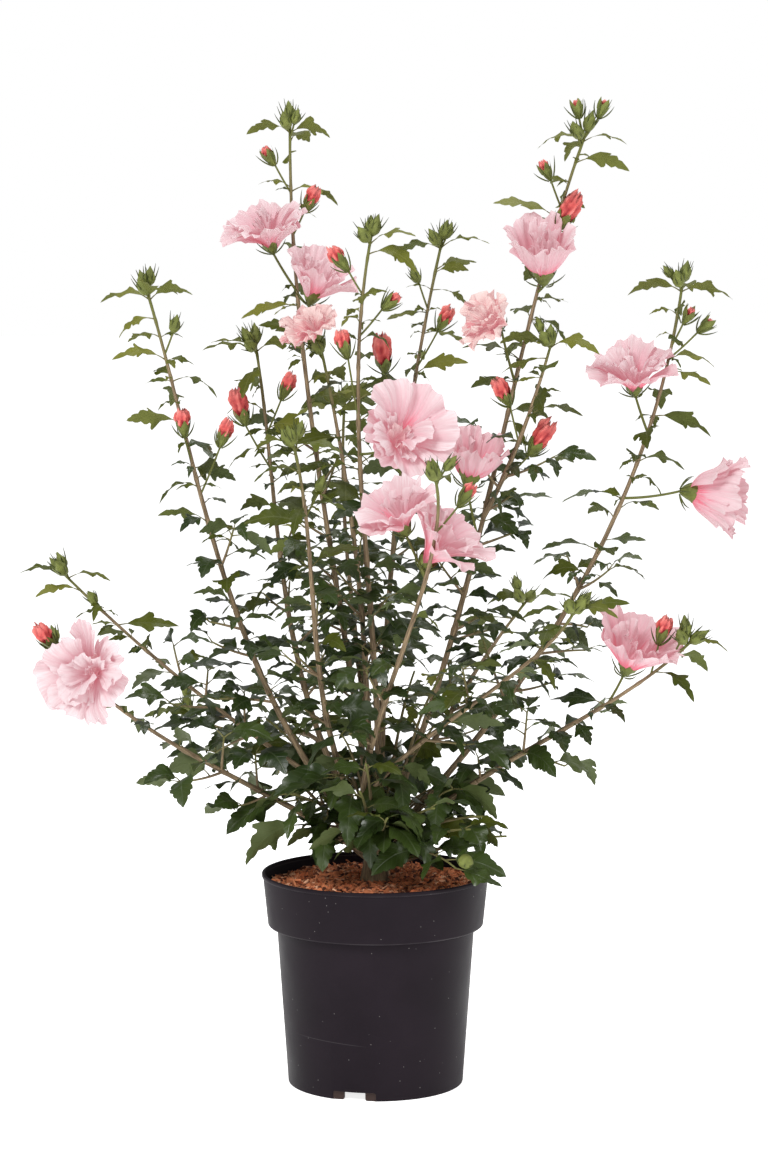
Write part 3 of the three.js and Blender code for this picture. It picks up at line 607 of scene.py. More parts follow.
def stem_grain(group):
    """Streaks and warts that run along a limb, and its tone, read from its marks."""
    marks = add_node(group, "Attribute", attribute_name="marks").outputs
    stretch = add_node(group, "Mapping", {"Vector": marks["Color"], "Scale": (2.2, 2.2, 38)})
    spot = {"Vector": stretch.outputs["Vector"]}
    streaks = add_node(group, "TexNoise", {**spot, "Scale": 1.6, "Detail": 6, "Roughness": 0.62})
    warts = add_node(group, "TexVoronoi", {**spot, "Scale": 5}, feature="F1")
    wart = times(group, ramp(group, warts.outputs["Distance"], 0.28, 0.12), 0.35)
    streaks = streaks.outputs["Fac"]
    height = math_node(group, "ADD", streaks, wart)
    return {"Streaks": streaks, "Height": height, "Tone": marks["Alpha"]}


STEM_GRAIN = effect_group("stem_grain", stem_grain)


def bark_material():
    """Bark that goes from wood, at tone 0, to green shoot, at tone 1."""
    material, tree, shader = new_material("bark", 0.72, Specular_IOR_Level=0.3)
    grain = place_effect(tree, STEM_GRAIN)
    wood = mix_colour(tree, ramp(tree, grain["Streaks"], 0.62, 0.36), BARK_TAN, BARK_DARK)
    young = mix_colour(tree, ramp(tree, grain["Tone"], 0.62, 1.0), wood, BARK_GREEN)
    join_skin(tree, shader, young, grain["Height"], 0.5, 0.0006)
    return material


BARK = bark_material()


def stem_part(stem, start, end, sides=STEM_SIDES):
    """A stretch of a stem, with a swelling at each of its nodes."""
    length = stem["length"]
    shares = np.linspace(start, end, max(4, round((end - start) * length / RING_STEP)))
    radii = stem["foot_radius"] + (STEM_TIP_RADIUS - stem["foot_radius"]) * shares
    gap = (shares[:, None] - np.asarray(stem["nodes"])) * length
    radii = radii * (1 + NODE_SWELL * np.exp(-((gap / NODE_REACH) ** 2)).sum(axis=1).clip(0, 1))
    tones = np.clip((shares - GREEN_FROM) / GREEN_RUN, 0, 1)
    offset = shares[0] * length
    return tube(stem["points"], shares, radii, sides, tones, STEM_RELIEF, offset)


# Growth: where the leaves, twigs and tips of each shoot stand. Lengths are in metres, turns and
# rises in degrees. The same seeds grow the same shrub each time.
LEAF_KNEE = 0.45
LEAF_RISE = (28, 48)
LEAF_DROOP = (-46, -18)
LEAF_MIDDLE = 0.6
LEAF_OFF_STEM = 0.34
LEAF_MARKS = ((0.5, 0.00157), (0.7, 0.00152), (0.85, 0.0007))
TWIG_MARKS = ((0.7, 0.0015),)
FIRST_NODE = 0.016
LAST_NODE = 0.010
NODE_TURN = 137.5
LEAF_LEAN = 0.5
SPACING = (0.037, 0.045)
OPEN_UP = 0.5
LEAF_LENGTH = (0.058, 0.074)
SMALL_LENGTH = (0.036, 0.050)
SMALL_CHANCE = 0.45
SMALL_SWAY = 0.7
TWIG_SHARE = 0.4
TWIG_CHANCE = 0.6
TIP_TAPER = 0.42
TWIG_LENGTH = (0.034, 0.060)
TWIG_LEAN = 0.7
TWIG_LIFT = 0.3
TWIG_SAG = 0.08
TWIG_END = 0.97
TWIG_ONWARD = 0.85
TWIG_FLANKS = (0.6, 0.75)
TWIG_SWAY = 0.5
TIP_PLACE = 0.985
TIP_TURN = 180
TIP_SWING = 25
TIP_LEAF = (0.058, 0.072)
TIP_STALK = (0.005, 0.008)
TIP_RISE = (35, 50)
TIP_GROWN = 0.97
TIP_SEED, SHOOT_SEED, BASAL_SEED, SEED_STEP = 106, 401, 701, 7
BASAL_COUNT = 14
BASAL_HEIGHTS = (0.216, 0.244)
BASAL_RISES = (16, 72)
BASAL_LENGTHS = (0.140, 0.215)
BASAL_SPACING = (0.020, 0.026)
BASAL_LEAF = (0.066, 0.086)
BASAL_FIRST = 0.014
BASAL_SWINGS = (0, 28, -28, 56, -56)
BASAL_SEARCH = [0] + [sign * 7 * i for i in range(1, 14) for sign in (1, -1)]
BASAL_CHECKS = tuple((share, 0.0026) for share in (0.45, 0.6, 0.75, 0.9))
RISE_STEP = 0.618


def make_random(seed):
    """An even random source that starts from a seed."""
    state = seed

    def random(low=0.0, high=1.0):
        nonlocal state
        state = state * 48271 % 2147483647
        return low + (high - low) * state / 2147483647

    return random


def across(points, share):
    """A place on a curve, and the unit vectors along it and square to it."""
    along = slope(points, share)
    out = unit(np.cross((0, 1, 0), along))
    return bezier(points, share), along, out, np.cross(out, along)


def leaf_spine(root, flat, length, rise, droop):
    """A leaf's midrib: up to its knee at one angle and on from there at the other."""

    def bend(angle, share):
        angle = math.radians(angle)
        return (flat * math.cos(angle) + UP * math.sin(angle)) * share * length

    knee = root + bend(rise, LEAF_KNEE)
    return [root, knee, knee + bend(droop, 1 - LEAF_KNEE)]


def surface_of(node):
    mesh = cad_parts[node].data
    corners = [vertex.co for vertex in mesh.vertices]
    return BVHTree.FromPolygons(corners, [face.vertices for face in mesh.polygons])


def stands(surface, spine, marks):
    """Whether a shoot's solid has a leaf or twig along this spine."""
    return all(surface.find_nearest(Vector(bezier(spine, at)))[3] < reach for at, reach in marks)


LEAVES = []
TWIGS = []


def add_leaf(spine, flat, length, grown):
    LEAVES.append({"spine": spine, "flat": flat, "length": length, "grown": grown})


def grow_leaf_toward(shoot, spot, along, flat, length, random, grown):
    """Adds a leaf on one heading, if its shoot's solid has it. Says whether it did."""
    rise = random(*LEAF_RISE)
    droop = random(*LEAF_DROOP)
    spine = leaf_spine(spot, flat, length, rise, droop)
    off_stem = np.linalg.norm(np.cross(bezier(spine, LEAF_MIDDLE) - spot, along))
    if off_stem < LEAF_OFF_STEM * length or not stands(shoot["surface"], spine, LEAF_MARKS):
        return False
    add_leaf(spine, flat, length, grown)
    return True


def grow_leaf(shoot, points, share, turn, length, random, grown):
    """Adds a leaf at a node, on the first of its shoot's swings that has room."""
    spot, along, out, side = across(points, share)
    for swing in shoot["swings"]:
        angle = turn + math.radians(swing)
        flat = out * math.cos(angle) + side * math.sin(angle) + LEAF_LEAN * along
        flat = unit(flat * (1, 1, 0))
        if grow_leaf_toward(shoot, spot, along, flat, length, random, grown):
            return


def grow_twig(shoot, points, share, turn, length, random, grown):
    """Adds a side twig with a leaf at its tip and two on its flanks."""
    spot, along, out, side = across(points, share)
    away = out * math.cos(turn) + side * math.sin(turn)
    aim = unit(away + TWIG_LEAN * along + TWIG_LIFT * UP)
    spine = [spot, spot + aim * length / 2 - UP * TWIG_SAG * length, spot + aim * length]
    if not stands(shoot["surface"], spine, TWIG_MARKS):
        return
    TWIGS.append({"points": spine, "length": length, "grown": grown})
    onward = unit(aim * (1, 1, 0))
    end = bezier(spine, TWIG_END)
    grow_leaf_toward(shoot, end, UP, onward, TWIG_ONWARD * random(*LEAF_LENGTH), random, grown)
    for index, flank_share in enumerate(TWIG_FLANKS):
        flank = math.pi * index + random(-TWIG_SWAY, TWIG_SWAY)
        grow_leaf(shoot, spine, flank_share, flank, random(*SMALL_LENGTH), random, grown)


def grow_along(shoot, spacing, leaf_length, seed):
    """Sets a leaf or twig at each node of a shoot, and a small leaf across from some."""
    random = make_random(seed)
    points, start, length = shoot["points"], shoot["start"], shoot["length"]
    share = start + FIRST_NODE / length
    turn = random(0, 360)
    while share < 1 - LAST_NODE / length:
        grown = (share - start) / (1 - start)
        taper = 1 - TIP_TAPER * grown * grown
        angle = math.radians(turn)
        shoot["nodes"].append(share)
        if grown < TWIG_SHARE and random() < TWIG_CHANCE:
            grow_twig(shoot, points, share, angle, random(*TWIG_LENGTH), random, grown)
        else:
            grow_leaf(shoot, points, share, angle, random(*leaf_length) * taper, random, grown)
        if random() < SMALL_CHANCE * (1 - grown):
            opposite = angle + math.pi + random(-SMALL_SWAY, SMALL_SWAY)
            small = random(*SMALL_LENGTH) * taper
            grow_leaf(shoot, points, share, opposite, small, random, grown)
        share += random(*spacing) * (1 + OPEN_UP * grown) / length
        turn += NODE_TURN


def grow_tip(shoot, seed):
    """Ends a stem with two buds and a pair of leaves."""
    random = make_random(seed)
    turn = TIP_TURN + random(-TIP_SWING, TIP_SWING)
    points = shoot["points"]
    place = bezier(points, TIP_PLACE)
    aside = heading(turn + 90, random(*TIP_RISE))
    stalk = random(*TIP_STALK)
    shoot["tip_buds"] = [(bezier(points, 1), slope(points, 1), 0.0), (place, aside, stalk)]
    for half_turn in (0, 180):
        flat = heading(turn + half_turn, 0)
        grow_leaf_toward(shoot, place, UP, flat, random(*TIP_LEAF), random, TIP_GROWN)


def basal_shoot(index):
    """A short shoot from the stock. It heads for the middle of the room it has."""

    def pick(span, part):
        return span[0] + (span[1] - span[0]) * part

    name = "basal_%02d" % (index + 1)
    rise = pick(BASAL_RISES, index * RISE_STEP % 1)
    foot = np.array((0, 0, pick(BASAL_HEIGHTS, index / (BASAL_COUNT - 1))))
    steep = (rise - BASAL_RISES[0]) / (BASAL_RISES[1] - BASAL_RISES[0])
    length = pick(BASAL_LENGTHS, steep)
    surface = surface_of(name)
    for swing in BASAL_SEARCH:
        turn = index * NODE_TURN + swing
        bends = ((0.8 * rise + 10, 0.35), (rise + 7, 0.7), (rise, 1))
        points = [foot, *(foot + heading(turn, a) * length * part for a, part in bends)]
        if stands(surface, points, BASAL_CHECKS):
            return {"name": name, "points": points, "start": BASAL_FIRST / length, "nodes": [],
                    "length": curve_length(points), "swings": BASAL_SWINGS, "surface": surface}
    return None


STEM_NAMED = {}
for stem_name, (foot, *others, bare) in STEM_CURVES.items():
    forked = isinstance(foot[0], str)
    foot = bezier(STEM_NAMED[foot[0]]["points"], foot[1]) if forked else np.array(foot) / 1000
    points = [foot, *(np.array(point) / 1000 for point in others)]
    length = curve_length(points)
    STEM_NAMED[stem_name] = {
        "name": stem_name, "points": points, "length": length, "nodes": [], "bare": bare,
        "start": bare + GAP / length, "swings": (0,), "surface": surface_of("shoot_" + stem_name),
        "foot_radius": STEM_FOOT_RADIUS * (STEM_FORK_SHARE if forked else 1),
    }
SHOOTS = list(STEM_NAMED.values())
BASALS = [shoot for shoot in map(basal_shoot, range(BASAL_COUNT)) if shoot]
for index, shoot in enumerate(SHOOTS):
    grow_tip(shoot, TIP_SEED + SEED_STEP * index)
for index, shoot in enumerate(SHOOTS):
    grow_along(shoot, SPACING, LEAF_LENGTH, SHOOT_SEED + SEED_STEP * index)
for index, shoot in enumerate(BASALS):
    grow_along(shoot, BASAL_SPACING, BASAL_LEAF, BASAL_SEED + SEED_STEP * index)


def make_wood():
    shares = np.linspace(0, 1, TRUNK_RINGS)
    flare = TRUNK_FLARE * (1 - shares) ** 4
    radii = TRUNK_RADIUS + flare + TRUNK_KNUCKLE * np.sin(math.pi * shares**3)
    parts = [tube(TRUNK, shares, radii, TRUNK_SIDES, 0 * shares, TRUNK_RELIEF)]
    parts += [stem_part(stem, 0, stem["bare"], BOUGH_SIDES) for stem in SHOOTS]
    piece = make_piece("wood", parts, BARK)
    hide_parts("trunk", *("bough_" + stem["name"] for stem in SHOOTS))


make_wood()

# ---------------------------------------------------------------- shoots and twigs
# The leafy part of each stem, the short shoots from the stock and the side twigs: wood of the
# last two summers, brown at the base and running out to green at the tips.
TWIG_SIDES, TWIG_RINGS = 8, 12
TWIG_RADIUS = (0.0015, 0.0009)
BASAL_RADIUS = (0.0024, 0.0011)
BASAL_RINGS = 50


def tapered(points, radius, tone, rings, relief):
    """A twig that thins, and turns from brown to green, from its foot to its tip."""
    shares = np.linspace(0, 1, rings)
    radii, tones = (low + (high - low) * shares for low, high in (radius, tone))
    return tube(points, shares, radii, TWIG_SIDES, tones, relief)


def twig_part(twig):
    return tapered(twig["points"], TWIG_RADIUS, (0.45, 0.95), TWIG_RINGS, 0.1)


def make_shoots():
    parts = [stem_part(stem, stem["bare"], 1) for stem in SHOOTS]
    parts += [tapered(shoot["points"], BASAL_RADIUS, (0.3, 1), BASAL_RINGS, 0.12) for shoot in BASALS]
    parts += [twig_part(twig) for twig in TWIGS]
    piece = make_piece("shoots", parts, BARK)
    names = ["shoot_" + stem["name"] for stem in SHOOTS] + [shoot["name"] for shoot in BASALS]
    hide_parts(*names)


make_shoots()

# ---------------------------------------------------------------- flowers
# Double flowers, each on a green calyx and a short stalk: five broad outer petals that lap round
# one another and a crowd of smaller ruffled ones within, pale at the margin and deep rose below.
FLOWER_SEED = 31
FLOWER_LOOKS = {"inner": 9, "heart": 0, "outer": (), "pale": 0, "ragged": 1, "withered": False}
STALK_SUNK = 0.0015
STALK_SAG = 0.06
STALK_RADIUS = (0.0014, 0.0012)
STALK_RINGS = 12
COLUMN_RADII = np.array((2.8, 2.5, 2.1, 1.9, 0.9)) * 1e-3
COLUMN_HEIGHTS = (0.003, 0.011, 0.019)
PETAL_COUNT = 5
PETAL_SPAN = 48
PETAL_FOOT = 0.004
PETAL_FULLNESS = 1.06
PETAL_STEPS = np.linspace(0, 1, 40)
CUP_OPENING, CUP_RUN = math.radians(50), math.radians(12)
# Of a fresh petal and of a withered one: how deep it crumples and how finely.
CRUMPLES = ((0.003, 55), (0.008, 90))
WITHERED_RUFFLE = 0.16
OUTER_GRID, INNER_GRID, HEART_GRID = (23, 16), (19, 13), (11, 8)
PETAL_KINDS = {"outer": 0.0, "inner": 0.4, "column": 0.6, "heart": 0.75, "withered": 1.0}
CALYX_WIDTH = (0.0088, 0.0124)
CALYX_HEIGHT = (0.0125, 0.0230)
CALYX_ROWS = ((0.0, 0.20), (0.08, 0.34), (0.25, 0.52), (0.48, 0.74), (0.72, 0.94), (1.0, 1.08))
BRACT_COUNT, BRACT_LENGTH = 7, 0.013
BRACT_RADII = np.array((0.6, 0.8, 0.85, 0.72, 0.48, 0.15)) * 1e-3
BRACT_TONES = np.linspace(0.8, 0.25, 6)
PINK_RIM = (0.50, 0.53, 0.535)
PINK_EDGE = (0.43, 0.40, 0.41)
PINK_MID = (0.45, 0.285, 0.325)
PINK_DEEP = (0.52, 0.060, 0.115)
CREAM = (0.52, 0.50, 0.46)
WITHER = (0.40, 0.14, 0.15)
HEART_WHITE = (0.55, 0.49, 0.47)
# The petals' painted glow: they give off this pink though they are no lamp, in place of light coming
# through thin petals, and it lifts their shade.
PETAL_PAINTED_GLOW_COLOUR = (0.84, 0.28, 0.33)
PETAL_PAINTED_GLOW = 0.38
CUP_GREEN = (0.108, 0.124, 0.030)
BRACT_GREEN = (0.022, 0.030, 0.008)
FLOWERS, HEAD_PLACES, HEAD_WIDTHS = [], [], []


def facing(direction):
    """The turn that takes Z to a direction, as a 3 by 3 array."""
    turn = Vector((0, 0, 1)).rotation_difference(Vector(direction))
    return np.array(turn.to_matrix())


def place_flower(on, at, stalk, toward, face, width, depth, **looks):
    """Sets a flower on a stem, at a place along it. toward and face are the headings of its stalk
    and itself, as turn and rise. inner and heart count the petals within, pale lightens them,
    ragged frays them. outer gives each outer petal's turn, size, half span and opening."""
    foot, toward, face = bezier(STEM_NAMED[on]["points"], at), heading(*toward), heading(*face)
    end = foot + toward * stalk
    flower = {**FLOWER_LOOKS, **looks, "face": face, "frame": facing(face)}
    flower["stem"] = [foot, foot + toward * stalk / 2 - UP * STALK_SAG * stalk, end]
    flower["base"] = end - toward * STALK_SUNK
    half, rise = width / 2, depth - PETAL_FOOT
    flower["opening"] = math.atan2(half, rise)
    flower["reach"] = math.hypot(half, rise) * PETAL_FULLNESS
    flower["cup"] = min(1.0, max(0.0, (CUP_OPENING - flower["opening"]) / CUP_RUN))
    FLOWERS.append(flower)
    HEAD_PLACES.append(flower["base"] + face * 0.6 * depth)
    HEAD_WIDTHS.append(width)


place_flower("low_left", 0.92, 0.024, (-28, 25), (-110, 3), 0.098, 0.034, heart=7, ragged=1.5, pale=0.32,
             outer=((64, 1.08, 24, 0.9), (6, 1.04, 42, 0.92), (-44, 0.92, 40, 1.0),
                    (-90, 1.08, 18, 1.1), (-132, 1.0, 42, 1.0), (178, 1.08, 46, 1.05),
                    (122, 0.98, 44, 0.9)))
place_flower("tall_left", 0.76, 0.048, (-162, 57), (-130, 66), 0.100, 0.034, ragged=1.3)
place_flower("tall_left", 0.70, 0.043, (-72, 46), (-50, 62), 0.072, 0.042, ragged=1.2, inner=8)
place_flower("mid_left", 1.0, 0.013, (-122, 56), (-125, 50), 0.062, 0.024, ragged=1.3, withered=True)
place_flower("middle", 0.63, 0.084, (-67, 9), (-69, 25), 0.102, 0.036, heart=4, ragged=0.7, inner=7,
             outer=((76, 1.06, 42, 0.92), (32, 1.10, 42, 1.03), (-10, 1.04, 44, 0.94),
                    (-52, 0.92, 40, 1.0), (-100, 0.78, 42, 1.0), (-152, 0.96, 40, 0.95),
                    (148, 1.16, 42, 0.85)))
place_flower("tall_right", 0.42, 0.061, (-120, 66), (-66, 60), 0.056, 0.046, inner=6)
place_flower("front", 0.74, 0.046, (155, 62), (-130, 60), 0.092, 0.034, ragged=1.3)
place_flower("front", 0.735, 0.0155, (120, 45), (-30, 46), 0.100, 0.046, ragged=1.4, inner=6, pale=-0.12)
place_flower("tall_right", 0.768, 0.014, (-50, 35), (-96, 60), 0.077, 0.051, ragged=2, inner=8, pale=0.15)
place_flower("tall_right", 0.64, 0.060, (-132, 68), (-132, 24), 0.060, 0.028, ragged=1.3, withered=True)
place_flower("right_tall", 0.76, 0.041, (-157, 69), (-108, 64), 0.092, 0.036, ragged=1.5)
place_flower("right_tall", 0.65, 0.060, (-13, 8), (-14, -5), 0.074, 0.055, ragged=1.6, inner=8, pale=-0.15)
place_flower("low_right", 0.72, 0.035, (40, 51), (-50, 58), 0.086, 0.050, ragged=1.5, inner=7, pale=-0.2)


def sheet_grid(place, columns, rows, tint, kind):
    """One sheet from place(u, v), u across from -1 to 1 and v along from 0 to 1."""
    u, v = (part.ravel() for part in np.meshgrid(np.linspace(-1, 1, columns), np.linspace(0, 1, rows)))
    corners, crease = place(u, v)
    starts = [row * columns + column for row in range(rows - 1) for column in range(columns - 1)]
    faces = [(a, a + 1, a + 1 + columns, a + columns) for a in starts]
    # The tint mark is lowered, as painted shade, in the folds of the ruffles that fall back from the
    # front.
    marks = np.stack((0.5 + 0.5 * u, v, tint - 0.3 * crease, np.full(u.shape, kind)), axis=1)
    return corners, faces, marks


def run_up(steps):
    """The running sum of steps, from 0, where each counts half at either end."""
    return np.concatenate(([0], np.cumsum(steps[1:] + steps[:-1]) / 2 / (len(steps) - 1)))


def petal(flower, rng, turn, size, opening, span, ruffle, unruly, grid, part):
    """A petal that springs from the calyx and bends outward, crinkled and ruffled towards its
    margin. size scales it to the flower's own reach, unruly tips it out of its place."""
    cup, steps = flower["cup"], PETAL_STEPS
    waves = rng.uniform(1.6, 3.2)
    phases = rng.uniform(0, 2 * math.pi, 7)
    tip_over = turn_matrix(0, *rng.normal(0, unruly, 2))
    flat_slant = opening * (0.45 + 0.95 * steps)
    cup_slant = opening + 0.62 * (1 - steps) ** 3 - 0.30 * np.sin(math.pi * steps)
    slant = flat_slant * (1 - cup) + cup_slant * cup
    run, climb = run_up(np.sin(slant)), run_up(np.cos(slant))
    reach = flower["reach"] * size
    crumple_depth, crumple_scale = CRUMPLES[flower["withered"]]

    def place(u, v):
        notch = 0.035 * np.sin(6 * u + phases[3]) + 0.020 * np.sin(13 * u + phases[4])
        notch += 0.009 * np.sin(29 * u + phases[0])
        reached = v * (1 - 0.22 * np.abs(u) ** 2.4 + flower["ragged"] * notch * v**3)
        radius = 0.0022 + reach * np.interp(reached, steps, run)
        height = PETAL_FOOT + 0.009 * cup + reach * np.interp(reached, steps, climb)
        tilt = np.interp(reached, steps, slant)
        azimuth = u * span * (0.6 + 0.4 * np.minimum(1, reached * 2.5))
        azimuth = azimuth + 0.05 * np.sin(5 * v + phases[5])
        ripple = np.sin(waves * math.pi * u + phases[0]) * (0.3 + 0.7 * np.abs(u))
        ripple += 0.5 * np.sin(2.3 * waves * math.pi * u + phases[1] + 3 * v)
        ripple += 0.4 * np.sin(4.5 * v + phases[2]) * np.sin(2 * u + phases[6])
        pleat = 0.010 * np.sin(22 * u + phases[5]) + 0.006 * np.sin(41 * u + phases[2])
        shift = reach * (ruffle * ripple * reached**2 + (pleat + 0.05 * u) * reached)
        radius = radius + shift * np.cos(tilt)
        height = height - shift * np.sin(tilt)
        corners = np.stack((radius * np.cos(azimuth), radius * np.sin(azimuth), height), axis=1)
        spots = corners * crumple_scale + phases[:3]
        crumple = np.array([noise.noise_vector(Vector(spot)) for spot in spots])
        corners = corners + crumple * (crumple_depth * reached[:, None])
        corners = corners @ tip_over.T @ turn_matrix(turn, 0, 0).T
        # With the corners goes how far each one folds back in the ruffles, for the painted shade in the
        # petal's colour.
        return corners @ flower["frame"].T + flower["base"], ripple * reached

    tint = rng.uniform(0.2, 0.7) + flower["pale"]
    kind = PETAL_KINDS["withered" if flower["withered"] else part]
    return sheet_grid(place, *grid, tint, kind)


def column(flower):
    """The pale column that stands in a flower's throat."""
    line = [flower["base"] + flower["frame"][:, 2] * height for height in COLUMN_HEIGHTS]
    corners, faces, marks = tube(line, np.linspace(0, 1, 5), COLUMN_RADII, 8, np.ones(5))
    marks[:] = (0.5, 0.35, 0.5, PETAL_KINDS["withered" if flower["withered"] else "column"])
    return corners, faces, marks


def flower_petals(flower, rng):
    """Outer and inner petals of one flower, short pale ones in the heart of a full one, and the
    column among them."""
    opening, count = flower["opening"], flower["inner"]
    parts = []
    first = rng.uniform(0, 360)
    turns = [first + 360 * index / PETAL_COUNT for index in range(PETAL_COUNT)]
    outer = flower["outer"] or [
        (turn, rng.uniform(0.88, 1.03), PETAL_SPAN, rng.uniform(0.88, 1.08)) for turn in turns
    ]
    for turn, size, span, share in outer:
        ruffle = WITHERED_RUFFLE if flower["withered"] else rng.uniform(0.06, 0.11)
        turn, span = math.radians(turn + rng.normal(0, 4)), math.radians(span)
        wide = opening * share
        parts.append(petal(flower, rng, turn, size, wide, span, ruffle, 0.05, OUTER_GRID, "outer"))
    for index in range(count):
        share = (index + 0.5) / count
        turn = math.radians(first + index * NODE_TURN)
        size = (0.60 + 0.30 * share) * rng.uniform(0.9, 1.1)
        wide = opening * (0.16 + 0.68 * share) * rng.uniform(0.85, 1.18)
        span = math.radians(rng.uniform(34, 56))
        parts.append(petal(flower, rng, turn, size, wide, span, 0.09, 0.16, INNER_GRID, "inner"))
    for index in range(flower["heart"]):
        size, wide = rng.uniform(0.42, 0.62), opening * rng.uniform(0.15, 0.62)
        parts.append(petal(flower, rng, index * 2.4, size, wide, 0.55, 0.16, 0.2, HEART_GRID, "heart"))
    return [*parts, column(flower)]


def cup_part(base, direction, radius, height, bracts, bract_length, rng, sides=20):
    """A five-pointed calyx with thin bracts under it."""
    turn = facing(direction)
    corners, marks = [], []
    for level, wide in CALYX_ROWS:
        for i in range(sides):
            angle = 2 * math.pi * i / sides
            star = math.cos(5 * angle)
            top = height * level * (1 if level < 0.7 else 1 + 0.25 * star + 0.025)
            reach = radius * wide * (1 + 0.06 * star)
            corners.append((reach * math.cos(angle), reach * math.sin(angle), top))
            marks.append((math.cos(angle), math.sin(angle), top, 1.0))
    faces = ring_faces(len(CALYX_ROWS), sides, top=False)
    parts = [(np.array(corners) @ turn.T + base, faces, np.array(marks))]
    for index in range(bracts):
        angle = 2 * math.pi * (index + rng.uniform(-0.2, 0.2)) / bracts
        away = np.array((math.cos(angle), math.sin(angle), 0.0)) * radius
        rise = UP * bract_length * rng.uniform(0.8, 1.25)
        points = [away * 0.3, away * 1.35 + rise * 0.38, away * rng.uniform(1.2, 2.1) + rise]
        points = [turn @ point + base for point in points]
        parts.append(tube(points, np.linspace(0, 1, 6), BRACT_RADII, 5, BRACT_TONES))
    return parts


def read_marks(tree):
    """The four numbers that a piece's marks hold."""
    marks = add_node(tree, "Attribute", attribute_name="marks").outputs
    parts = add_node(tree, "SeparateColor", {"Color": marks["Color"]}).outputs
    return (*parts, marks["Alpha"])


def petal_material():
    """Thin petal with a painted pink glow in place of the light that comes through it: pale at the margin,
    rose towards a deep throat, with fine streaks along it and painted shade, a deeper rose, in the folds
    of its ruffles. Its kind pales the heart and turns a withered one cream."""
    # Painted glow: the petal gives off pink light of its own, standing in for light coming through it.
    light = {"Emission_Color": (*PETAL_PAINTED_GLOW_COLOUR, 1), "Emission_Strength": PETAL_PAINTED_GLOW}
    material, tree, shader = new_material("petal", 0.6, Specular_IOR_Level=0.12, **light)
    marks = add_node(tree, "Attribute", attribute_name="marks").outputs["Color"]
    stretch = add_node(tree, "Mapping", {"Vector": marks, "Scale": (30, 1.6, 3)}).outputs["Vector"]
    spot = {"Vector": stretch, "Scale": 1.5, "Detail": 5}
    streaks = add_node(tree, "TexNoise", spot).outputs["Fac"]
    _, along, tint, kind = read_marks(tree)
    # The tint mark holds each petal's own tone and, as painted shade, a lowering in the folds of its
    # ruffles: it reddens a withered petal there.
    fold = math_node(tree, "MULTIPLY_ADD", tint, -0.5, streaks)
    fold = math_node(tree, "MULTIPLY_ADD", along, -0.35, fold)
    sway = math_node(tree, "MULTIPLY_ADD", streaks, 0.95, -0.475)
    inner = times(tree, ramp(tree, kind, 0.2, 0.45), 0.14)
    # Through crease, the tint and its painted fold shade shift a fresh petal towards the deeper rose.
    crease = math_node(tree, "MULTIPLY_ADD", tint, 0.5, -0.25)
    for shift in (sway, inner, crease):
        along = math_node(tree, "ADD", along, shift)
    low = mix_colour(tree, ramp(tree, along, 0.09, 0.43), PINK_DEEP, PINK_MID)
    pink = mix_colour(tree, ramp(tree, along, 0.28, 0.86), low, PINK_EDGE)
    pink = mix_colour(tree, times(tree, ramp(tree, along, 0.88, 1.1), 0.75), pink, PINK_RIM)
    pink = mix_colour(tree, times(tree, ramp(tree, kind, 0.5, 0.75), 0.8), pink, HEART_WHITE)
    dry = mix_colour(tree, ramp(tree, fold, 0.02, 0.26), CREAM, WITHER)
    skin = mix_colour(tree, ramp(tree, kind, 0.85, 0.95), pink, dry)
    join_skin(tree, shader, skin, streaks, 0.8, 0.0008)
    return material


def cup_material():
    """Dull green that drifts over calyx and bud, and darkens towards the tips of the bracts."""
    material, tree, shader = new_material("cup_green", 0.55, Specular_IOR_Level=0.2)
    drift = ramp(tree, cloud(tree, 130, 3), 0.35, 0.7)
    mixed = mix_colour(tree, drift, CUP_GREEN, tuple(1.7 * part for part in CUP_GREEN))
    tone = add_node(tree, "Attribute", attribute_name="marks").outputs["Alpha"]
    join_skin(tree, shader, mix_colour(tree, ramp(tree, tone, 0.2, 0.9), BRACT_GREEN, mixed))
    return material


CUP_GREEN_SKIN = cup_material()


def make_flowers():
    rng = np.random.default_rng(FLOWER_SEED)
    noise.seed_set(FLOWER_SEED)
    petals, cups, stalks = [], [], []
    for flower in FLOWERS:
        petals += flower_petals(flower, rng)
        wide, high = (low + (top - low) * flower["cup"] for low, top in (CALYX_WIDTH, CALYX_HEIGHT))
        cups += cup_part(flower["base"], flower["face"], wide, high, BRACT_COUNT, BRACT_LENGTH, rng)
        shares, radii = np.linspace(0, 1, STALK_RINGS), np.linspace(*STALK_RADIUS, STALK_RINGS)
        stalks.append(tube(flower["stem"], shares, radii, 8, np.ones(STALK_RINGS), 0.05))
    make_piece("petals", petals, petal_material())
    make_piece("flower_cups", cups, CUP_GREEN_SKIN)
    make_piece("flower_stalks", stalks, BARK)


make_flowers()

# ---------------------------------------------------------------- buds
# Buds on stalks near the tips: green ones ribbed and pointed, and ones about to open, whose
# rolled coral petals stand out of the calyx.
BUD_SEED = 47
CORAL = (0.68, 0.115, 0.098)
# Deep red for the painted shade in the buds' folds, and a pale coral for their tips and for the painted
# highlight on their ribs.
CORAL_FOLD_SHADE = (0.34, 0.024, 0.032)
CORAL_TIP_AND_RIB_HIGHLIGHT = (0.74, 0.28, 0.25)
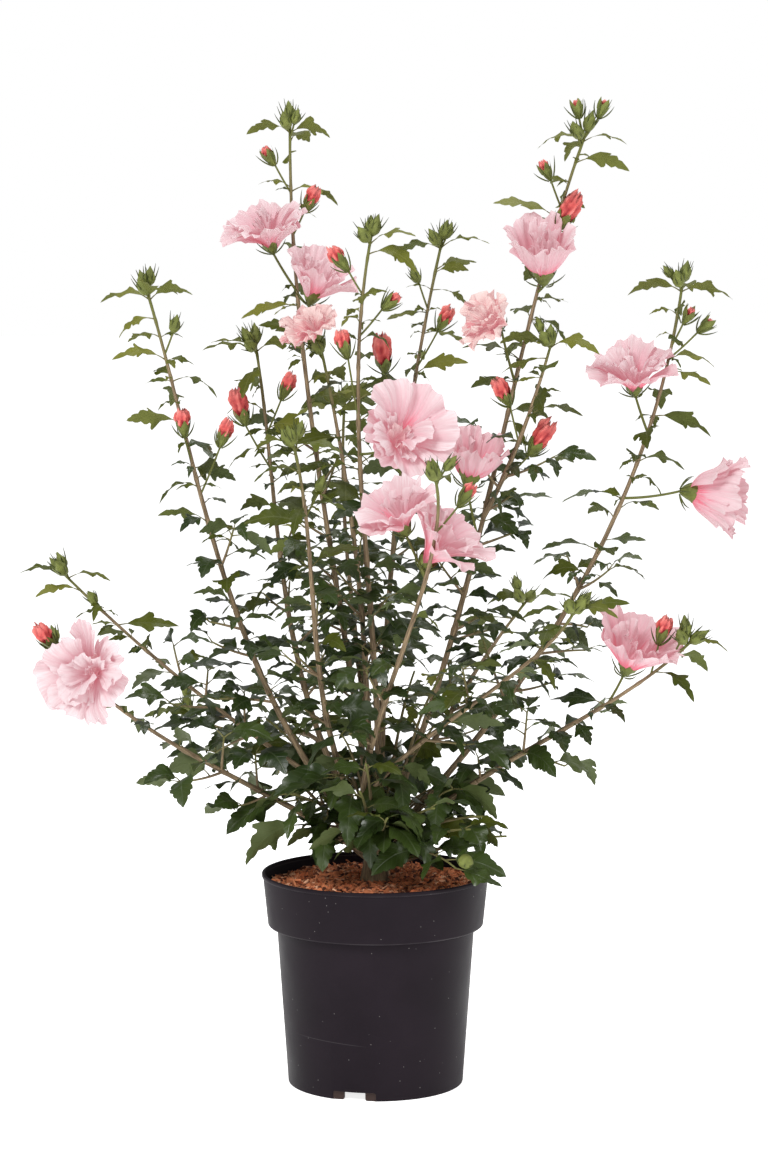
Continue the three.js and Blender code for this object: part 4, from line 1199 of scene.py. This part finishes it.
# The buds of each stem: the place along it, the stalk's length, the heading as turn and rise, and
# how far the bud has opened. That is 0 for a green one, 1 for a coral one and more for a big one.
BUDS = {
    "tall_left": ((0.84, 0.027, (-27, 61), 1), (0.90, 0.034, (-151, 57), 0.45)),
    "middle": ((0.90, 0.028, (154, 56), 1), (0.69, 0.062, (-129, 75), 1), (0.83, 0.036, (-21, 48), 0.5)),
    "back_right_tall": ((0.88, 0.030, (-144, 67), 0), (0.78, 0.044, (-18, 59), 1),
                        (0.65, 0.078, (-140, 69), 1.5)),
    "tall_right": ((0.89, 0.030, (-148, 65), 0.45), (0.84, 0.014, (-24, 62), 1.5),
                   (0.99, 0.021, (158, 76), 0.25), (0.99, 0.026, (15, 54), 0.25)),
    "right_inner": ((0.45, 0.038, (-144, 73), 1.15), (0.21, 0.040, (-16, 44), 1.45)),
    "front": ((0.85, 0.032, (15, 48), 0.8),),
    "left_inner": ((0.75, 0.052, (-160, 59), 1.4), (0.82, 0.038, (-32, 63), 1)),
    "left_tall": ((0.65, 0.052, (-20, 66), 1), (0.70, 0.030, (-140, 70), 1), (0.89, 0.024, (-33, 65), 0)),
    "front_left": ((0.82, 0.026, (-25, 60), 0),),
    "left_fan": ((0.86, 0.014, (-129, 41), 0),),
    "low_left": ((0.99, 0.010, (-130, 48), 1.1),),
    "right_tall": ((0.90, 0.026, (-35, 60), 0.3), (0.88, 0.040, (7, 42), 0.3)),
    "low_right": ((0.86, 0.032, (-37, 74), 1), (0.93, 0.022, (-31, 61), 0)),
}
STALK_TAPER = (0.0011, 0.00099)
# The outline of each sort of bud: heights as shares of the bud, and the radii there.
OPEN_SHAPE = ((0, 0.2, 0.45, 0.7, 0.9, 1), (0.0030, 0.0052, 0.0066, 0.0070, 0.0056, 0.0030))
GREEN_SHAPE = ((0, 0.15, 0.38, 0.6, 0.82, 1), (0.0026, 0.0048, 0.0056, 0.0046, 0.0022, 0.0003))
ROUND_SHAPE = ((0, 0.2, 0.5, 0.8, 1), (0.0030, 0.0066, 0.0080, 0.0058, 0.0008))
BUD_LEVELS = np.linspace(0, 1, 16)
OPEN_SHARE = 0.35
OPEN_HEIGHT, GREEN_HEIGHT, ROUND_HEIGHT = 0.021, 0.0185, 0.014
BUD_LEAN = 0.12
BUD_MIDDLE, BUD_WIDTH = 0.014, 0.024
TIP_BUD_SIZE = 1.15
FOOT_BUD = ((0.088, -0.120, 0.246), (0.2, -0.5, 0.85))


def spindle(base, direction, shape, swell, height, sides, crinkle, rng):
    """A pointed bud, ribbed or crinkled, closed at both ends. swell scales its shape's radii."""
    turn = facing(direction)
    phase = rng.uniform(0, 2 * math.pi)
    corners, marks = [], []
    for level, radius in zip(BUD_LEVELS, swell * np.interp(BUD_LEVELS, *shape)):
        for i in range(sides):
            angle = 2 * math.pi * i / sides
            rib = math.cos(5 * angle + phase + 2.2 * level)
            spot = Vector((2.2 * math.cos(angle), 2.2 * math.sin(angle), 6 * level + phase))
            fine = 2.2 * noise.noise(spot) + 0.7 * math.cos(9 * angle + 3 * phase - 7 * level)
            reach = radius * (1 + crinkle * (rib + 0.8 * fine))
            top = height * (level + 0.8 * crinkle * level**4 * fine)
            corners.append((reach * math.cos(angle), reach * math.sin(angle), top))
            # The first mark rises on the crinkle's ridges and falls in its folds, for the painted
            # highlight and shade on coral buds.
            marks.append((0.5 + 0.25 * (rib + fine), level, rng.uniform(), 1.0))
    return np.array(corners) @ turn.T + base, ring_faces(len(BUD_LEVELS), sides), np.array(marks)


def coral_material():
    """Rolled petals: coral, with painted shade in deep red in the folds, a painted highlight on the ribs,
    and paler at the tip.
    """
    material, tree, shader = new_material("coral", 0.5, Specular_IOR_Level=0.3)
    rib, level, _, _ = read_marks(tree)
    # Painted shade: deep red in the folds of the crinkle.
    skin = mix_colour(tree, ramp(tree, rib, 0.1, 0.9), CORAL_FOLD_SHADE, CORAL)
    # Painted highlight on the ridges; the paler tip that follows is the bud's own colour.
    skin = mix_colour(tree, times(tree, ramp(tree, rib, 0.7, 1.1), 0.8), skin, CORAL_TIP_AND_RIB_HIGHLIGHT)
    skin = mix_colour(tree, times(tree, ramp(tree, level, 0.7, 1.0), 0.45), skin, CORAL_TIP_AND_RIB_HIGHLIGHT)
    join_skin(tree, shader, skin)
    return material


def make_buds():
    rng = np.random.default_rng(BUD_SEED)
    corals, greens, stalks = [], [], []

    def add_bud(start, direction, stalk, opened, size=1.0):
        base = start + direction * stalk
        if stalk:
            line = [start, start + direction * stalk / 2 - UP * 0.04 * stalk, base]
            radii = np.linspace(*STALK_TAPER, 6)
            stalks.append(tube(line, np.linspace(0, 1, 6), radii, 7, np.ones(6)))
        lean = unit(direction + rng.normal(0, BUD_LEAN, 3))
        if opened:
            HEAD_PLACES.append(base + lean * BUD_MIDDLE)
            HEAD_WIDTHS.append(BUD_WIDTH)
            share = OPEN_SHARE + (1 - OPEN_SHARE) * opened
            tall = OPEN_HEIGHT * max(share, share**1.7)
            corals.append(spindle(base + lean * 0.008, lean, OPEN_SHAPE, share, tall, 30, 0.15, rng))
            greens.extend(cup_part(base, lean, 0.0068 * max(1.0, share), 0.0165, 6, 0.018, rng))
        else:
            tall, foot = GREEN_HEIGHT * size, base + lean * 0.001
            greens.append(spindle(foot, lean, GREEN_SHAPE, size, tall, 15, 0.06, rng))
            wide, bract = 0.0044 * size, 0.0180 * size
            greens.extend(cup_part(base, lean, wide, 0.006, 6, bract, rng, sides=15))

    for name, buds in BUDS.items():
        for at, stalk, toward, opened in buds:
            add_bud(bezier(STEM_NAMED[name]["points"], at), heading(*toward), stalk, opened)
    for stem in SHOOTS:
        for start, direction, stalk in stem["tip_buds"]:
            add_bud(start, direction, stalk, 0, TIP_BUD_SIZE)
        start = bezier(stem["points"], rng.uniform(0.975, 0.998))
        aim = heading(rng.uniform(0, 360), rng.uniform(50, 72))
        add_bud(start, aim, rng.uniform(0.008, 0.020), 0, rng.uniform(0.8, 1.1))
    place, aim = np.array(FOOT_BUD)
    greens.append(spindle(place, unit(aim), ROUND_SHAPE, 1, ROUND_HEIGHT, 18, 0.03, rng))
    greens.extend(cup_part(place, unit(aim), 0.0058, 0.008, 7, 0.011, rng))
    make_piece("buds_coral", corals, coral_material())
    make_piece("buds_green", greens, CUP_GREEN_SKIN)
    make_piece("bud_stalks", stalks, BARK)


make_buds()
HEAD_PLACES, HEAD_WIDTHS = np.array(HEAD_PLACES), np.array(HEAD_WIDTHS)

# ---------------------------------------------------------------- leaves
# Toothed, three-lobed leaves on short stalks: glossy and dark low down, lighter and narrower
# towards the tips. Each node carries a tuft of one to three, and finer twigs fill the lower half.
LEAF_STALK = 0.16
# Each row of a shape gives, in thousandths of the blade, how far along and how far out its margin
# lies, and where its side vein leaves the midrib. A lobe's tip lies further along than its base.
LEAF_SHAPES = {
    "lobed": ((50, 30, 40), (150, 85, 110), (240, 150, 170), (300, 175, 220), (360, 235, 270),
              (460, 300, 320), (540, 305, 370), (570, 260, 420), (545, 190, 460), (570, 160, 510),
              (640, 190, 560), (700, 190, 610), (730, 145, 660), (750, 115, 710), (820, 125, 770),
              (870, 100, 830), (900, 60, 880), (960, 40, 950)),
    "broad": ((40, 50, 30), (100, 130, 70), (170, 200, 120), (235, 235, 170), (280, 212, 200),
              (340, 265, 240), (410, 290, 290), (465, 278, 330), (505, 242, 370), (522, 212, 400),
              (570, 228, 450), (635, 220, 500), (660, 168, 540), (710, 178, 600), (768, 156, 660),
              (785, 112, 700), (838, 116, 770), (890, 90, 830), (940, 50, 910)),
    "narrow": ((60, 28, 50), (180, 90, 130), (270, 120, 200), (340, 165, 250), (440, 225, 310),
               (520, 225, 370), (545, 175, 420), (530, 125, 470), (600, 145, 530), (670, 155, 590),
               (710, 115, 650), (730, 85, 700), (800, 98, 770), (860, 70, 830), (940, 40, 920)),
    "small": ((100, 45, 70), (250, 115, 180), (400, 195, 280), (490, 195, 360), (515, 130, 430),
              (620, 135, 530), (700, 110, 620), (740, 75, 700), (880, 55, 850)),
}
# The low and high colour of each green, and its roughness and specular level above.
LEAF_GREENS = {
    "dark": ((0.012, 0.024, 0.005), (0.040, 0.063, 0.012), 0.28, 0.32),
    "mid": ((0.039, 0.051, 0.006), (0.084, 0.099, 0.0115), 0.44, 0.13),
    "fresh": ((0.074, 0.086, 0.011), (0.160, 0.165, 0.026), 0.52, 0.12),
}
LEAF_UNDER = (0.085, 0.104, 0.034)
DARK_BELOW, MID_BELOW = 0.40, 0.66
SMALL_BELOW = 0.040
BLADE_ROLLS = (0.55, 0.6)
BLADE_FOLD = (2, 24)
BLADE_WIDTH = (0.85, 1.1)
BLADE_WAVES = (1.6, 3.0)
BLADE_WAVE_HEIGHT = 0.060
BLADE_CUP = (-0.02, 0.07)
LEAF_STALK_RADII = np.array((0.85, 0.7, 0.6, 0.4)) * 1e-3
LEAF_RNG = np.random.default_rng(5)
# Short sprays that hang about the foot: the twig's curve in millimetres, then its leaves as place
# along the twig, turn, length in millimetres, and the rise of the leaf's start and end.
SPRAYS = (
    (((-4, -4, 236), (-38, -20, 270), (-70, -42, 274)),
     ((1.0, 192, 88, 5, -62), (0.75, 120, 52, 20, -40), (0.6, -110, 62, 0, -60))),
    (((0, -8, 238), (-4, -30, 286), (-10, -50, 290)),
     ((1.0, -82, 80, -15, -88), (0.9, -162, 72, 8, -50), (0.8, -15, 68, 8, -46))),
    (((4, -6, 238), (24, -34, 280), (40, -52, 282)),
     ((1.0, -72, 74, -12, -86), (0.9, 5, 62, 5, -60), (0.75, -168, 70, 10, -44))),
    (((4, -10, 236), (12, -32, 268), (14, -46, 270)),
     ((1.0, -88, 50, -35, -89), (0.9, -30, 56, 0, -60))),
    (((-4, -6, 238), (-26, -34, 278), (-44, -54, 280)),
     ((1.0, -105, 72, -12, -86), (0.85, 175, 64, 0, -50), (0.75, -20, 70, 5, -48))),
    (((4, -8, 232), (45, -70, 266), (80, -114, 243)),
     ((1.0, -18, 52, -10, -26), (0.8, -118, 52, 15, -50), (0.72, 30, 60, 25, -10),
      (0.5, -150, 66, 10, -45))),
    (((0, -6, 238), (-10, -45, 300), (-22, -72, 312)),
     ((1.0, -98, 82, -5, -84), (0.85, 170, 70, 0, -55), (0.7, -30, 66, 0, -62))),
    (((2, -6, 240), (12, -40, 320), (20, -66, 336)),
     ((1.0, -80, 86, 0, -80), (0.85, 20, 72, 12, -40), (0.65, -140, 70, -5, -75))),
    (((4, -4, 236), (50, -30, 300), (78, -50, 312)),
     ((1.0, -35, 70, 10, -55), (0.8, -100, 64, 0, -70), (0.6, 50, 58, 20, -30))),
    (((-4, 0, 240), (-52, -30, 300), (-86, -46, 306)),
     ((1.0, 200, 64, 5, -52), (0.8, -110, 70, 0, -66), (0.6, 120, 56, 15, -30))),
    (((0, -6, 246), (-20, -50, 352), (-34, -82, 372)),
     ((1.0, -130, 70, 5, -60), (0.8, -40, 66, 0, -66), (0.6, 160, 60, 10, -45))),
    (((2, -4, 246), (40, -45, 360), (62, -74, 382)),
     ((1.0, -60, 68, 8, -58), (0.8, 10, 62, 5, -50), (0.6, -150, 62, 0, -62))),
)
# More of them stand about the stock on every side by rule.
FOOT_SPRAYS = 12
FOOT_REACH, FOOT_TOP = (0.045, 0.100), (0.262, 0.345)
FOOT_ROOT = (0.232, 0.258)
FOOT_NODES = (1.0, 0.84, 0.66, 0.5)
FOOT_LEAF = (0.055, 0.084)
# Tufts along the stems: leaf lengths at the foot, in the middle of the crown and near the tips,
# and the most leaves in a tuft up to each share of the stem's growth.
FOOT_HEIGHT, TIP_FROM = 0.37, 0.45
TUFT_LENGTHS = ((0.048, 0.074), (0.044, 0.064), (0.052, 0.076))
TUFT_BANDS = ((0.2, 3), (0.36, 2), (0.5, 1), (0.86, 3), (0.9, 2), (1.0, 1))
TUFT_FIRST, TUFT_STEP = 0.008, (0.0210, 0.0225)
TUFT_RISE, TUFT_DROOP = (5, 52), (-65, -8)
TUFT_TRIES = 6
TUFT_SPREAD = 0.20
FOOT_SPREAD = TUFT_SPREAD * 1.1
OPEN_FROM = 0.40
AXIL_SHARE = 0.48
LEAF_REACH, TWIGLET_REACH = 0.98, 0.9
TWIG_NODES = (1.0, 0.3, 0.5, 0.7, 0.85)
TWIGLET_SHARE = 0.30
TWIGLET_FIRST, TWIGLET_STEP = 0.004, 0.042
TWIGLET_LENGTH = (0.026, 0.062)


def leaf_outline(rows):
    """Corners of a shape, as along and across, five to a row, and its faces."""
    corners, faces = [(0.0, 0.0)], []
    for along, half, rib in rows:
        middle = (along + rib) / 2
        corners += [(along, -half), (middle, -half / 2), (rib, 0.0)]
        corners += [(middle, half / 2), (along, half)]
    corners.append((1.0, 0.0))
    for side in range(4):
        faces.append((0, 1 + side, 2 + side))
        for row in range(len(rows) - 1):
            low, high = 1 + 5 * row + side, 6 + 5 * row + side
            faces.append((low, high, high + 1, low + 1))
        last = len(corners) - 6 + side
        faces.append((last, len(corners) - 1, last + 1))
    return np.array(corners), faces


def blade_parts(leaves, shape):
    """The blades of many leaves: each follows its spine, folded along its midrib, rolled and
    twisted about it, with a slow wave in its margins."""
    rng, rows = LEAF_RNG, np.array(LEAF_SHAPES[shape]) / 1000
    corners, faces = leaf_outline(rows)
    hand = np.sign(corners[:, 1])
    out = np.abs(corners[:, 1]) / rows[:, 1].max()
    share = LEAF_STALK + (1 - LEAF_STALK) * np.clip(corners[:, 0], 0, 1)
    parts = []
    for leaf in leaves:
        blade = leaf["length"] * (1 - LEAF_STALK)
        along = slope(leaf["spine"], share)
        side = unit(np.cross(UP, leaf["flat"]))
        normal = np.cross(along, side)
        lean, twist = (rng.normal(0, spread) for spread in BLADE_ROLLS)
        roll = lean + twist * (corners[:, 0] - 0.3)
        cos, sin = np.cos(roll)[:, None], np.sin(roll)[:, None]
        side, normal = side * cos + normal * sin, normal * cos - side * sin
        fold = math.radians(rng.uniform(*BLADE_FOLD))
        width = corners[:, 1] * blade * rng.uniform(*BLADE_WIDTH) * (1 - 0.18 * leaf["grown"])
        waves = 2 * math.pi * rng.uniform(*BLADE_WAVES)
        wave = np.sin(waves * corners[:, 0] + rng.uniform(0, 6.3) + 1.3 * hand)
        lift = np.abs(width) * math.sin(fold) * (1 - 0.55 * out)
        lift = lift + BLADE_WAVE_HEIGHT * blade * wave * out**1.6
        lift = lift - rng.uniform(*BLADE_CUP) * blade * out**2
        place = bezier(leaf["spine"], share) + side * (width * math.cos(fold))[:, None]
        place = place + normal * lift[:, None]
        tint = np.full(len(corners), rng.uniform() ** 1.3)
        marks = np.stack((0.5 + 0.5 * hand * out, corners[:, 0], tint, tint), axis=1)
        parts.append((place, faces, marks))
    return parts


def leaf_grain(group):
    """The midrib and the side veins of a blade and its tint, read from its marks, and a slow
    drift from leaf to leaf."""
    across_it, along, tint, _ = read_marks(group)
    across_it = math_node(group, "ABSOLUTE", math_node(group, "SUBTRACT", across_it, 0.5))
    midrib = ramp(group, across_it, 0.030, 0.012)
    slant = times(group, across_it, -4.2)
    run = math_node(group, "FRACT", math_node(group, "MULTIPLY_ADD", along, 7.5, slant))
    side_vein = times(group, line_at(group, run, 0.5, 0.075, 0.02), 0.55)
    vein = math_node(group, "MAXIMUM", midrib, side_vein)
    drift = times(group, ramp(group, cloud(group, 45, 3), 0.42, 0.75), 0.5)
    return {"Vein": vein, "Tint": tint, "Drift": drift}


LEAF_GRAIN = effect_group("leaf_grain", leaf_grain)


def leaf_material(name, low, high, gloss, level):
    """A leaf's skin: glossy above with pale veins, matt and greyer below."""
    material, tree, shader = new_material("leaf_" + name, gloss, Specular_IOR_Level=level)
    grain = place_effect(tree, LEAF_GRAIN)
    skin = mix_colour(tree, grain["Tint"], low, high)
    skin = mix_colour(tree, grain["Drift"], skin, high)
    pale = tuple(0.9 * part + 0.03 for part in high)
    skin = mix_colour(tree, times(tree, grain["Vein"], 0.45), skin, pale)
    under = tuple(0.55 * a + 0.45 * b for a, b in zip(LEAF_UNDER, high))
    backing = add_node(tree, "NewGeometry").outputs["Backfacing"]
    rough = math_node(tree, "MULTIPLY_ADD", backing, 0.3, gloss)
    tree.links.new(rough, shader.inputs["Roughness"])
    skin = mix_colour(tree, backing, skin, under)
    join_skin(tree, shader, skin, grain["Vein"], 0.35, 0.0008, invert=True)
    return material


def hides_flower(spine, length):
    """Whether a leaf would lie in a flower or bud, or hang in front of it."""
    offsets = bezier(spine, LEAF_MIDDLE) - HEAD_PLACES
    beside = np.hypot(offsets[:, 0], offsets[:, 2])
    inside = np.linalg.norm(offsets, axis=1) < 0.42 * HEAD_WIDTHS + 0.25 * length
    in_front = (offsets[:, 1] < 0) & (beside < 0.40 * HEAD_WIDTHS + 0.12 * length)
    return bool((inside | in_front).any())


def reach_share(place):
    """How far out a place lies in the crown's reach: 1 at the edge of the solids' box."""
    low, high = np.array(cad_low), np.array(cad_high)
    return np.max(np.abs((place - (low + high) / 2) / ((high - low) / 2)))


def rim_clearance(place):
    """The height below which a leaf would run into the fill or the pot's rim."""
    over_rim = math.hypot(place[0], place[1]) > inner_radius(FILL_LEVEL) - 0.012
    return POT_HEIGHT + 0.002 if over_rim else FILL_LEVEL + 0.004


def foot_sprays():
    """The sprays that stand by rule, in the same form as SPRAYS but in metres."""
    rng, made = LEAF_RNG, []
    for index in range(FOOT_SPRAYS):
        turn = index * NODE_TURN + rng.uniform(-15, 15)
        reach, height = rng.uniform(*FOOT_REACH), rng.uniform(*FOOT_TOP)
        foot = UP * rng.uniform(*FOOT_ROOT)
        end = heading(turn, 0) * reach + UP * height
        knee = heading(turn, 0) * reach * 0.55 + UP * (height + 0.008)
        leaves = []
        for share in FOOT_NODES:
            aim, length = turn + rng.uniform(-75, 75), rng.uniform(*FOOT_LEAF)
            leaves.append((share, aim, length, rng.uniform(-5, 30), rng.uniform(-72, -22)))
        made.append(((foot, knee, end), leaves))
    return made


def add_spray(points, leaves, unit_length=1.0):
    """Adds a spray's twig and those of its leaves that clear the rim."""
    points = [np.array(point) / unit_length for point in points]
    TWIGS.append({"points": points, "length": curve_length(points), "grown": 0.0, "leafy": True})
    for share, turn, length, rise, droop in leaves:
        flat, length = heading(turn, 0), length / unit_length
        spine = leaf_spine(bezier(points, share), flat, length, rise, droop)
        tip = bezier(spine, 1.0)
        if tip[2] > rim_clearance(tip):
            add_leaf(spine, flat, length, 0.0)


def twiglet(shoot, share):
    """A fine side twig from a stem, springing out and then up."""
    spot, along, out, side = across(shoot["points"], share)
    turn, length = LEAF_RNG.uniform(0, 2 * math.pi), LEAF_RNG.uniform(*TWIGLET_LENGTH)
    away = unit(out * math.cos(turn) + side * math.sin(turn) + 0.5 * along + 0.15 * UP)
    end = spot + away * length + UP * length * LEAF_RNG.uniform(-0.15, 0.2)
    return {"points": [spot, spot + away * length * 0.55, end], "length": length}


def tuft_nodes():
    """Where tufts may grow, as curve, share, growth and twig: on every stem and shoot, then on
    every twig. The stems get their fine side twigs on the way."""
    nodes = []
    for shoot in [*SHOOTS, *BASALS]:
        start, length = shoot["start"], shoot["length"]
        share = start + TUFT_FIRST / length
        while share < 1:
            grown = (share - start) / (1 - start)
            nodes.append((shoot["points"], share, grown, {}))
            low, high = TUFT_STEP
            share += (low + (high - low) * grown**1.5) * LEAF_RNG.uniform(0.8, 1.2) / length
        if "bare" not in shoot:
            continue
        share = start + TWIGLET_FIRST / length
        while share < start + TWIGLET_SHARE * (1 - start):
            fine = twiglet(shoot, share)
            if reach_share(fine["points"][2]) < TWIGLET_REACH:
                TWIGS.append({**fine, "grown": (share - start) / (1 - start)})
            share += TWIGLET_STEP * LEAF_RNG.uniform(0.6, 1.4) / length
    for twig in TWIGS:
        nodes += [(twig["points"], share, twig["grown"], twig) for share in TWIG_NODES]
    return nodes


def grow_tufts():
    """Sets a tuft at each node, of leaves that clear the stem, the flowers, the rim and one
    another. A twig that bears one is leafy."""
    rng = LEAF_RNG
    middles = [bezier(leaf["spine"], LEAF_MIDDLE) for leaf in LEAVES]
    sizes = [leaf["length"] for leaf in LEAVES]

    def has_room(spot, along, spine, length, spread):
        centre, tip = bezier(spine, LEAF_MIDDLE), bezier(spine, 1.0)
        if np.linalg.norm(np.cross(centre - spot, along)) < LEAF_OFF_STEM * length:
            return False
        if reach_share(tip) > LEAF_REACH or tip[2] < rim_clearance(tip) or hides_flower(spine, length):
            return False
        apart = np.linalg.norm(np.array(middles) - centre, axis=1)
        return not (apart < spread * (length + np.array(sizes))).any()

    for points, share, grown, twig in tuft_nodes():
        spot, along, out, side = across(points, share)
        is_foot = spot[2] < FOOT_HEIGHT
        low, high = TUFT_LENGTHS[0 if is_foot else 1 if grown < TIP_FROM else 2]
        grew, most = 0, next(count for end, count in TUFT_BANDS if grown <= end)
        for _ in range(TUFT_TRIES):
            turn, length = rng.uniform(0, 2 * math.pi), rng.uniform(low, high)
            if grew and grown > OPEN_FROM:
                length *= AXIL_SHARE
            away = out * math.cos(turn) + side * math.sin(turn) + LEAF_LEAN * along
            flat = unit(away * (1, 1, 0))
            spine = leaf_spine(spot, flat, length, rng.uniform(*TUFT_RISE), rng.uniform(*TUFT_DROOP))
            if not has_room(spot, along, spine, length, FOOT_SPREAD if is_foot else TUFT_SPREAD):
                continue
            add_leaf(spine, flat, length, grown)
            twig["leafy"] = True
            middles.append(bezier(spine, LEAF_MIDDLE))
            sizes.append(length)
            grew += 1
            if grew == most:
                break


def leaf_stalks():
    """The stalks of the leaves, from the stem's middle to just past the blade's base."""
    shares = np.linspace(0, LEAF_STALK + 0.05, 4)
    thick = [(leaf["length"] / 0.06) ** 0.5 for leaf in LEAVES]
    return [tube(leaf["spine"], shares, LEAF_STALK_RADII * grow, 5, np.full(4, 0.9))
            for leaf, grow in zip(LEAVES, thick)]


def make_leaves():
    LEAVES[:] = [leaf for leaf in LEAVES if not hides_flower(leaf["spine"], leaf["length"])]
    first_fine = len(TWIGS)
    foot = foot_sprays()
    for spray in SPRAYS:
        add_spray(*spray, 1000)
    for spray in foot:
        add_spray(*spray)
    grow_tufts()
    dealt = {}
    for leaf in LEAVES:
        height = bezier(leaf["spine"], LEAF_MIDDLE)[2]
        young = 0.5 * leaf["grown"] + 0.42 * (height - 0.25) / 0.75 + LEAF_RNG.normal(0, 0.10)
        shade = "dark" if young < DARK_BELOW else "mid" if young < MID_BELOW else "fresh"
        chance = LEAF_RNG.uniform() + (0.2 if height < FOOT_HEIGHT else -0.65)
        full = "broad" if chance > 0.55 else "lobed" if chance > 0 else "narrow"
        shape = "small" if leaf["length"] < SMALL_BELOW else full
        dealt.setdefault((shade, shape), []).append(leaf)
    materials = {name: leaf_material(name, *look) for name, look in LEAF_GREENS.items()}
    for (shade, shape), leaves in dealt.items():
        parts = blade_parts(leaves, shape)
        make_piece("leaves_%s_%s" % (shade, shape), parts, materials[shade])
    make_piece("leaf_stalks", leaf_stalks(), BARK)
    parts = [twig_part(twig) for twig in TWIGS[first_fine:] if "leafy" in twig]
    make_piece("fine_twigs", parts, BARK)


make_leaves()

# ---------------------------------------------------------------- floor, light and camera
# A plain white studio: a wide pale floor, an even white surround and three large soft lights.
FLOOR_SIZE = 60.0
FLOOR_WHITE = (0.93, 0.93, 0.93, 1)
FLOOR_GLOW = 0.80
WORLD_WHITE = (1.0, 1.0, 1.0, 1)
WORLD_LIGHT = 0.36
# Each light's place, the place it is aimed at, its width and its power.
LIGHTS = {
    "key": ((-1.5, -2.4, 2.7), (0, 0, 0.5), 1.3, 88),
    "fill_light": ((2.1, -2.3, 1.5), (0, 0, 0.5), 1.6, 30),
    "top_light": ((0.3, 0.9, 2.9), (0, 0, 0.6), 1.6, 40),
}
CAMERA_LENS = 101.8
CAMERA_PLACE = (0.0086, -3.3, 0.85)
CAMERA_PITCH = math.radians(84.34)


def make_floor():
    bpy.ops.object.select_all(action="DESELECT")
    bpy.ops.mesh.primitive_plane_add(size=FLOOR_SIZE)
    floor = bpy.context.active_object
    floor.name = floor.data.name = "floor"
    white = {"Base_Color": FLOOR_WHITE, "Emission_Color": (1, 1, 1, 1), "Emission_Strength": FLOOR_GLOW}
    material, _, _ = new_material("floor_white", 0.9, Specular_IOR_Level=0.1, **white)
    floor.data.materials.append(material)


def add_light(name, place, aim, size, power):
    light = bpy.data.lights.new(name, "AREA")
    light.size, light.energy = size, power
    lamp = bpy.data.objects.new(name, light)
    lamp.location = place
    lamp.rotation_euler = (Vector(aim) - Vector(place)).to_track_quat("-Z", "Y").to_euler()
    bpy.context.scene.collection.objects.link(lamp)


def light_world():
    """An even surround that is white to the eye and dimmer as a light."""
    world = bpy.context.scene.world or bpy.data.worlds.new("studio")
    bpy.context.scene.world = world
    world.use_nodes = True
    tree = world.node_tree
    background = tree.nodes["Background"]
    background.inputs["Color"].default_value = WORLD_WHITE
    strength = ramp(tree, add_node(tree, "LightPath").outputs["Is Camera Ray"], 0, 1)
    strength.node.inputs["To Min"].default_value = WORLD_LIGHT
    tree.links.new(strength, background.inputs["Strength"])


make_floor()
light_world()
for light_name, light_values in LIGHTS.items():
    add_light(light_name, *light_values)

camera_data = bpy.data.cameras.new("camera")
camera_data.lens = CAMERA_LENS
camera = bpy.data.objects.new("camera", camera_data)
camera.location = CAMERA_PLACE
camera.rotation_euler = (CAMERA_PITCH, 0, 0)
bpy.context.scene.collection.objects.link(camera)
bpy.context.scene.camera = camera
bpy.context.scene.view_settings.view_transform = "Standard"
